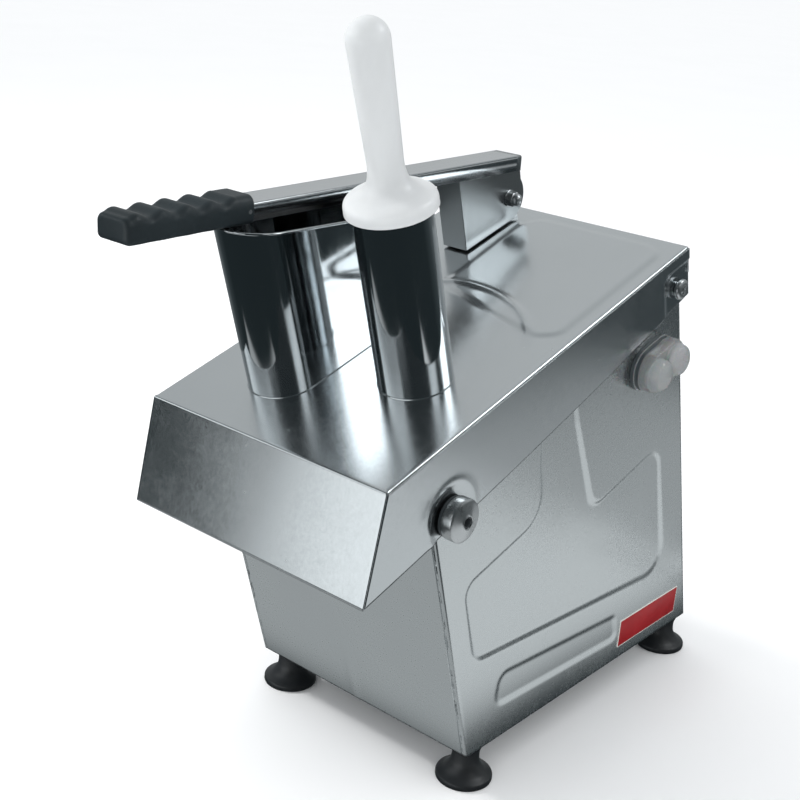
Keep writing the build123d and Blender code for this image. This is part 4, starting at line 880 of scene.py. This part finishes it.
def make_pestle():
    """Plug, flange and tapered handle of the pestle, one turned shape."""
    rim = TUBE_TOP + 0.2
    plug = TUBE_R - SHEET - 0.8
    dome_r = 15.3
    shoulder = rim + 136.65 - dome_r
    lower = [(0, -4), (plug - 2, -4)] + arc((plug - 2, -2), 2, -90, 0, 5) + [(plug, 60), (plug, rim - 0.4)]
    flange = [(31, rim), (33.2, rim + 0.1)] + arc((33.0, rim + 1.4), 1.2, -60, 0, 4)
    swell = ((34.0, 2.4), (33.9, 6.8), (32.3, 9.8), (28.4, 12.2), (22.6, 14.6), (17.4, 18.4),
             (14.3, 24.5), (13.0, 34.0))
    flange += smooth_profile([(r, rim + h) for r, h in swell])
    handle = [(13.0 + 2.3 * k / 20, rim + 34 + (shoulder - rim - 34) * k / 20) for k in range(1, 21)]
    dome = arc((0, shoulder), dome_r, 0, 90, 16)[1:]
    place = DECK @ Matrix.Translation((TUBE_X, TUBE_V, 0))
    add_piece("white_pestle", *lathe(lower + flange + handle + dome, 128), MILKY, "pestle", "white_plastic",
              place, 60, replaces=("pestle",))


def make_knob():
    """Turned knob with a drum, a shallow cone and a socket, over its dark washer."""
    place = DECK @ to_right(LID_HALF + 3.2, KNOB_V, KNOB_N)
    edge = KNOB_R - 1.2
    profile = [(0, 0), (KNOB_R - 0.5, 0), (KNOB_R, 0.5), (KNOB_R, 8.0), (KNOB_R - 0.35, 8.8), (edge, 9.3)]
    cone = [(edge - (edge - 5.6) * k / 8, 9.3 + 2.6 * k / 8) for k in range(1, 9)]
    mouth = [(5.2, 12.2), (4.7, 12.0), (4.6, 11.2), (4.55, 6.2), (0, 5.4)]
    add_piece("knob_drum", *lathe(profile + cone + mouth, 96), TURNED, "lock_knob", "turned_steel", place, 35,
              replaces=("lock_knob",))
    # The socket inside the knob's mouth is part of the turned steel knob, but it is lined with dark plastic:
    # painted shade inside the socket.
    rings = []
    for height in (6.0, 11.4):
        rings.append([(x, y, height) for x, y in arc((0, 0), 4.6, 0, 360, 24)[:-1]])
    sixth = math.pi / 3
    for height, radius in ((11.4, 3.9), (6.2, 3.7)):
        ring = []
        for k in range(24):
            a = 2 * math.pi * k / 24
            flat = radius * math.cos(sixth / 2) / math.cos((a + sixth / 2) % sixth - sixth / 2)
            ring.append((flat * math.cos(a), flat * math.sin(a), height))
        rings.append(ring)
    add_piece("knob_socket", *stack(rings), DARK_PLASTIC, "lock_knob", "turned_steel", place, 35)
    bore = KNOB_R - 3.5
    washer = lathe([(bore, 0), (16.0, 0), (16.2, 0.3), (16.2, 2.6), (15.8, 2.9), (bore, 3.0)], 80)
    add_piece("knob_ring", *washer, DARK_PLASTIC, "knob_washer", "dark_plastic",
              DECK @ to_right(LID_HALF + 0.2, KNOB_V, KNOB_N), 35, replaces=("knob_washer",))


def make_hinge_heads():
    """Low round heads of the two hinge bolts, with their spacer rings."""
    spacer = lathe([(0, -4), (4.0, -4), (4.0, 0.2), (6.2, 0.2), (6.5, 0.5), (6.5, 2.4), (6.2, 2.7),
                    (0, 2.7)], 48)
    head = lathe([(0, 2.7), (8.8, 2.7), (9.0, 3.0), (9.0, 4.6), (8.4, 5.6), (7.0, 6.3), (4.3, 6.6),
                  (3.9, 6.4), (3.6, 4.2), (0, 3.9)], 64)
    for side, name in ((-1, "left"), (1, "right")):
        turn = Matrix.Rotation(side * math.pi / 2, 4, "Y")
        place = DECK @ Matrix.Translation((side * (LID_HALF - 1.5), HINGE_V, HINGE_N)) @ turn
        add_piece(f"hinge_head_{name}", *merge(spacer, head), TURNED, "housing", "turned_steel",
                  place, 35, replaces=("hinge_bolts",) if side > 0 else ())


def make_feet():
    """Black rubber feet: waisted stem and wide thin lip."""
    top = FOOT_HEIGHT
    upper = [(0, top), (12.6, top), (13.4, top - 0.6), (13.5, top - 2.6)]
    waist = smooth_profile([(13.2, top - 3.6), (11.8, top - 8), (11.5, top - 13), (12.2, top - 18.5),
                            (14.4, 12.0), (18.0, 8.0), (22.6, 5.4)])
    lip = [(23.5, 4.9), (23.95, 3.9), (24.0, 1.4), (23.6, 0.2), (22.8, 0.0), (20.4, 0.0), (19.2, 1.2),
           (14.0, 3.2), (0, 3.4)]
    for name in ("left_front", "left_rear", "right_front", "right_rear"):
        low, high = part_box("foot_" + name)
        centre = (low + high) / 2
        place = Matrix.Translation((centre.x, centre.y, low.z)) @ Matrix.Scale(MM, 4)
        add_piece("rubber_foot_" + name, *lathe(upper + waist + lip, 72), FOOT_RUBBER, "housing",
                  "foot_rubber", place, 60, replaces=("foot_" + name,))


def stadium(length, height):
    """Outline of an oblong with round ends, as (v, n) about the switch's centre."""
    r = height / 2
    far = length / 2 - r
    line = arc((far, 0), r, -90, 90, 24) + arc((-far, 0), r, 90, 270, 24)
    return [(SWITCH_V + a, SWITCH_N + b) for a, b in line]


def oblong_stack(levels):
    """Stacked oblong rings: (x, inset) at each level, the inset from the switch's full length and height."""
    rings = []
    for x, inset in levels:
        rings.append([(x, v, n) for v, n in stadium(SWITCH_LONG - inset, SWITCH_HIGH - inset)])
    return stack(rings)


def make_switch():
    """Two-button switch: dark gasket with a clear lip, thick frosted boot, two domes over the buttons."""
    base, front = BODY_HALF, BOOT_FRONT
    lower = oblong_stack([(base, 1), (base + 0.3, 0), (base + 2.6, 0.6), (base + 3.0, 2.6)])
    upper = oblong_stack([(base + 3.9, 2.6), (base + 4.1, 2.0), (base + 6.6, 2.0), (base + 7.0, 3.4)])
    add_piece("switch_gasket", *merge(lower, upper), BEZEL_GREY, "housing", "bezel_grey", DECK, 40,
              replaces=("switch_bezel",))
    lip = oblong_stack([(base + 3.0, 1.2), (base + 3.2, 0), (base + 3.7, 0), (base + 3.9, 1.2)])
    skirt = oblong_stack([(base + 7.0, 3), (base + 7.4, 1.4), (front - 3.4, 1.8), (front - 1.2, 3.0),
                          (front - 0.3, 5.0), (front, 7.4)])
    eave = front + 3.4
    wall = [(0, front - 2), (14.6, front - 2), (14.5, front), (14.1, front + 1.4), (13.6, eave)]
    turns = [math.radians(a) for a in range(12, 90, 13)]
    crown = [(13.6 * math.cos(a) ** 0.7, eave + (DOME_TOP - eave) * math.sin(a)) for a in turns]
    dome = lathe(wall + crown + [(0, DOME_TOP)], 56)
    domes = [moved(dome, to_right(0, SWITCH_V + shift, SWITCH_N)) for shift in (-14, 14)]
    add_piece("clear_boot", *merge(lip, skirt, *domes), CLEAR, "housing", "clear_silicone", DECK, 45,
              replaces=("button_boot",))


def make_label():
    """Plain red plate with softened corners and a thin pale edge."""
    place = DECK @ Matrix.Translation((BODY_HALF, LABEL_V, LABEL_N)) @ Matrix.Rotation(-TILT, 4, "X")

    def plate(half_y, half_z, radius, levels):
        rows = []
        for x, inset in levels:
            y, z = half_y - inset, half_z - inset
            rows.append([(x, a, b) for a, b in rounded(rectangle(-y, y, -z, z), radius, 5)])
        return stack(rows)

    half_y, half_z = LABEL_LONG / 2, LABEL_HIGH / 2
    add_piece("label_border", *plate(half_y, half_z, 1.2, [(0, 0), (0.4, 0), (0.55, 0.15)]), CREAM, "housing",
              "capacitor_white", place, 40)
    add_piece("label_face", *plate(half_y - 1.0, half_z - 1.0, 0.8, [(0.3, 0), (0.7, 0), (0.8, 0.15)]), RED,
              "housing", "label_red", place, 40, replaces=("label_plate",))


make_lid_top()
for lid_side in (-1, 1):
    make_lid_skirt(lid_side)
make_hopper()
make_tube()
make_body()
make_arm()
make_cheeks()
make_pivot()
make_grip()
make_pestle()
make_knob()
make_hinge_heads()
make_feet()
make_switch()
make_label()
for sharp_node in ("rear_cover", "pusher_plate", "pusher_post", "lever_lug", "lever_pivot_bolt",
                   "cable_gland", "rear_cover_screws", "grip_pins", "bottom_plate"):
    bevel(frame["nodes"][sharp_node], 0.3)


# ---- studio ----

FLOOR_HALF = 45.0     # metres


def flat_panel(name, half_x, half_y, material):
    """A flat rectangle of the stage about its own middle."""
    mesh = bpy.data.meshes.new(name)
    corners = rectangle(-half_x, half_x, -half_y, half_y)
    mesh.from_pydata([(x, y, 0) for x, y in corners], [], [(0, 1, 2, 3)])
    mesh.materials.append(material)
    panel = bpy.data.objects.new(name, mesh)
    bpy.context.scene.collection.objects.link(panel)
    return panel


def aim_at(thing, centre, aim, axis):
    """Puts a thing at centre with its own axis towards aim."""
    thing.location = centre
    thing.rotation_mode = "QUATERNION"
    thing.rotation_quaternion = (Vector(aim) - Vector(centre)).to_track_quat(axis, "Y")


def make_floor():
    """A wide pale floor that steel doesn't mirror."""
    n = material_nodes("floor_paper")
    tint = n.ramp(n.noise(3.0, detail=3), [(0.3, (0.955, 0.958, 0.96)), (0.7, (0.97, 0.972, 0.974))])
    floor = flat_panel("floor", FLOOR_HALF, FLOOR_HALF, n.set(color=tint, rough=0.7))
    floor.visible_glossy = False


def card(name, centre, size, aim, brightness, fade):
    """A lit studio card that only reflections see. fade softens its edges, as shares of its half size."""
    half = (size[0] / 2, size[1] / 2)
    n = material_nodes(name)
    split = n.add("ShaderNodeSeparateXYZ")
    n.link(n.place, split.inputs[0])
    strength = brightness
    for axis, reach, share in zip("XY", half, fade):
        away = n.maths("ABSOLUTE", split.outputs[axis])
        edge = n.spread(away, 1.0, 0.0, reach * (1 - share) - 1e-4, reach, smooth=True)
        strength = n.maths("MULTIPLY", strength, edge)
    glow = n.add("ShaderNodeEmission", Color=(0.96, 0.99, 1.0, 1))
    n.link(strength, glow.inputs["Strength"])
    both = n.add("ShaderNodeAddShader")
    n.link(glow.outputs["Emission"], both.inputs[0])
    n.link(n.add("ShaderNodeBsdfTransparent").outputs["BSDF"], both.inputs[1])
    n.link(both.outputs["Shader"], n.tree.nodes["Material Output"].inputs["Surface"])
    n.tree.nodes.remove(n.tree.nodes["Principled BSDF"])
    panel = flat_panel(name, *half, n.owner)
    aim_at(panel, centre, aim, "Z")
    panel.visible_camera = False
    panel.visible_diffuse = False
    panel.visible_shadow = False
    panel.visible_transmission = False


def soft_light(name, centre, size, power, aim):
    """A soft lamp for the matt parts and the floor, with no mirror image in the steel."""
    light = bpy.data.lights.new(name, "AREA")
    light.shape = "RECTANGLE"
    light.size, light.size_y = size
    light.energy = power
    lamp = bpy.data.objects.new(name, light)
    bpy.context.scene.collection.objects.link(lamp)
    aim_at(lamp, centre, aim, "-Z")
    lamp.visible_camera = False
    lamp.visible_glossy = False


def make_world():
    """White round the camera and for the soft light; a dark studio, bright at the back, in reflections."""
    world = bpy.data.worlds.new("studio")
    bpy.context.scene.world = world
    n = Nodes(world, "Generated")
    towards = n.add("ShaderNodeVectorMath")
    towards.operation = "DOT_PRODUCT"
    towards.inputs[1].default_value = Vector((-0.55, 0.62, 0.56)).normalized()
    n.link(n.place, towards.inputs[0])
    height = n.spread(towards.outputs["Value"], 0.0, 1.0, -1.0, 1.0)
    gradient = n.ramp(height, [(0.0, (0.020, 0.028, 0.031)), (0.45, (0.022, 0.031, 0.034)),
                               (0.60, (0.05, 0.063, 0.068)), (0.76, (0.15, 0.17, 0.178)),
                               (0.90, (0.43, 0.455, 0.465)), (1.0, (0.64, 0.66, 0.665))])
    studio = n.add("ShaderNodeBackground")
    n.link(gradient, studio.inputs["Color"])
    soft = n.add("ShaderNodeBackground", Color=(0.97, 0.985, 1, 1), Strength=1.1)
    mix = n.add("ShaderNodeMixShader")
    n.link(n.add("ShaderNodeLightPath").outputs["Is Glossy Ray"], mix.inputs["Fac"])
    n.link(soft.outputs["Background"], mix.inputs[1])
    n.link(studio.outputs["Background"], mix.inputs[2])
    n.link(mix.outputs["Shader"], n.tree.nodes["World Output"].inputs["Surface"])
    n.tree.nodes.remove(n.tree.nodes["Background"])


def make_camera():
    """The photograph's viewpoint: place in LEVEL millimetres, direction of view, roll and lens."""
    camera = bpy.data.objects.new("camera", bpy.data.cameras.new("camera"))
    bpy.context.scene.collection.objects.link(camera)
    camera.data.lens = 60.77
    camera.data.sensor_width = 36.0
    camera.data.clip_end = 200.0
    camera.location = LEVEL @ Vector((643.6, -642.84, 367.2))
    look = Vector((-0.59058, 0.73176, -0.34020))
    level = look.cross(Vector((0, 0, 1))).normalized()
    up = level.cross(look)
    roll = math.radians(4.6075)
    right = level * math.cos(roll) + up * math.sin(roll)
    top = right.cross(look)
    camera.rotation_mode = "QUATERNION"
    camera.rotation_quaternion = Matrix((right, top, -look)).transposed().to_quaternion()
    bpy.context.scene.camera = camera


make_floor()
make_world()
make_camera()
soft_light("key", (-1.9, -0.7, 1.7), (0.5, 0.5), 32, (0, 0, 0.25))
card("front_left_box", (-0.85, -1.40, 1.08), (2.3, 0.62), (0, 0, 0.45), 1.5, (0.15, 0.3))
card("right_box", (1.50, -0.20, 1.25), (0.75, 0.45), (0, 0, 0.45), 1.6, (0.3, 0.3))
card("edge_box", (1.00, 0.85, 1.80), (0.9, 0.9), (0, 0, 0.45), 5.0, (0.3, 0.3))
card("apron_card", (-0.21, -1.42, 0.13), (1.62, 0.80), (-0.21, 0, 0.13), 1.38, (0.05, 0.25))
card("side_floor_near", (0.43, 0.165, 0.004), (0.58, 0.63), (0.43, 0.165, 1), 0.74, (0.2, 0.15))
card("side_floor_far", (0.43, 0.725, 0.004), (0.58, 0.65), (0.43, 0.725, 1), 0.40, (0.2, 0.12))
card("side_horizon", (1.40, 1.50, 0.62), (1.9, 0.72), (0, 0, 0.40), 0.5, (0.3, 0.4))
card("front_floor", (-0.10, -0.27, 0.004), (0.66, 0.42), (-0.10, -0.27, 1), 0.44, (0.15, 0.2))
bpy.context.scene.view_settings.view_transform = "Standard"
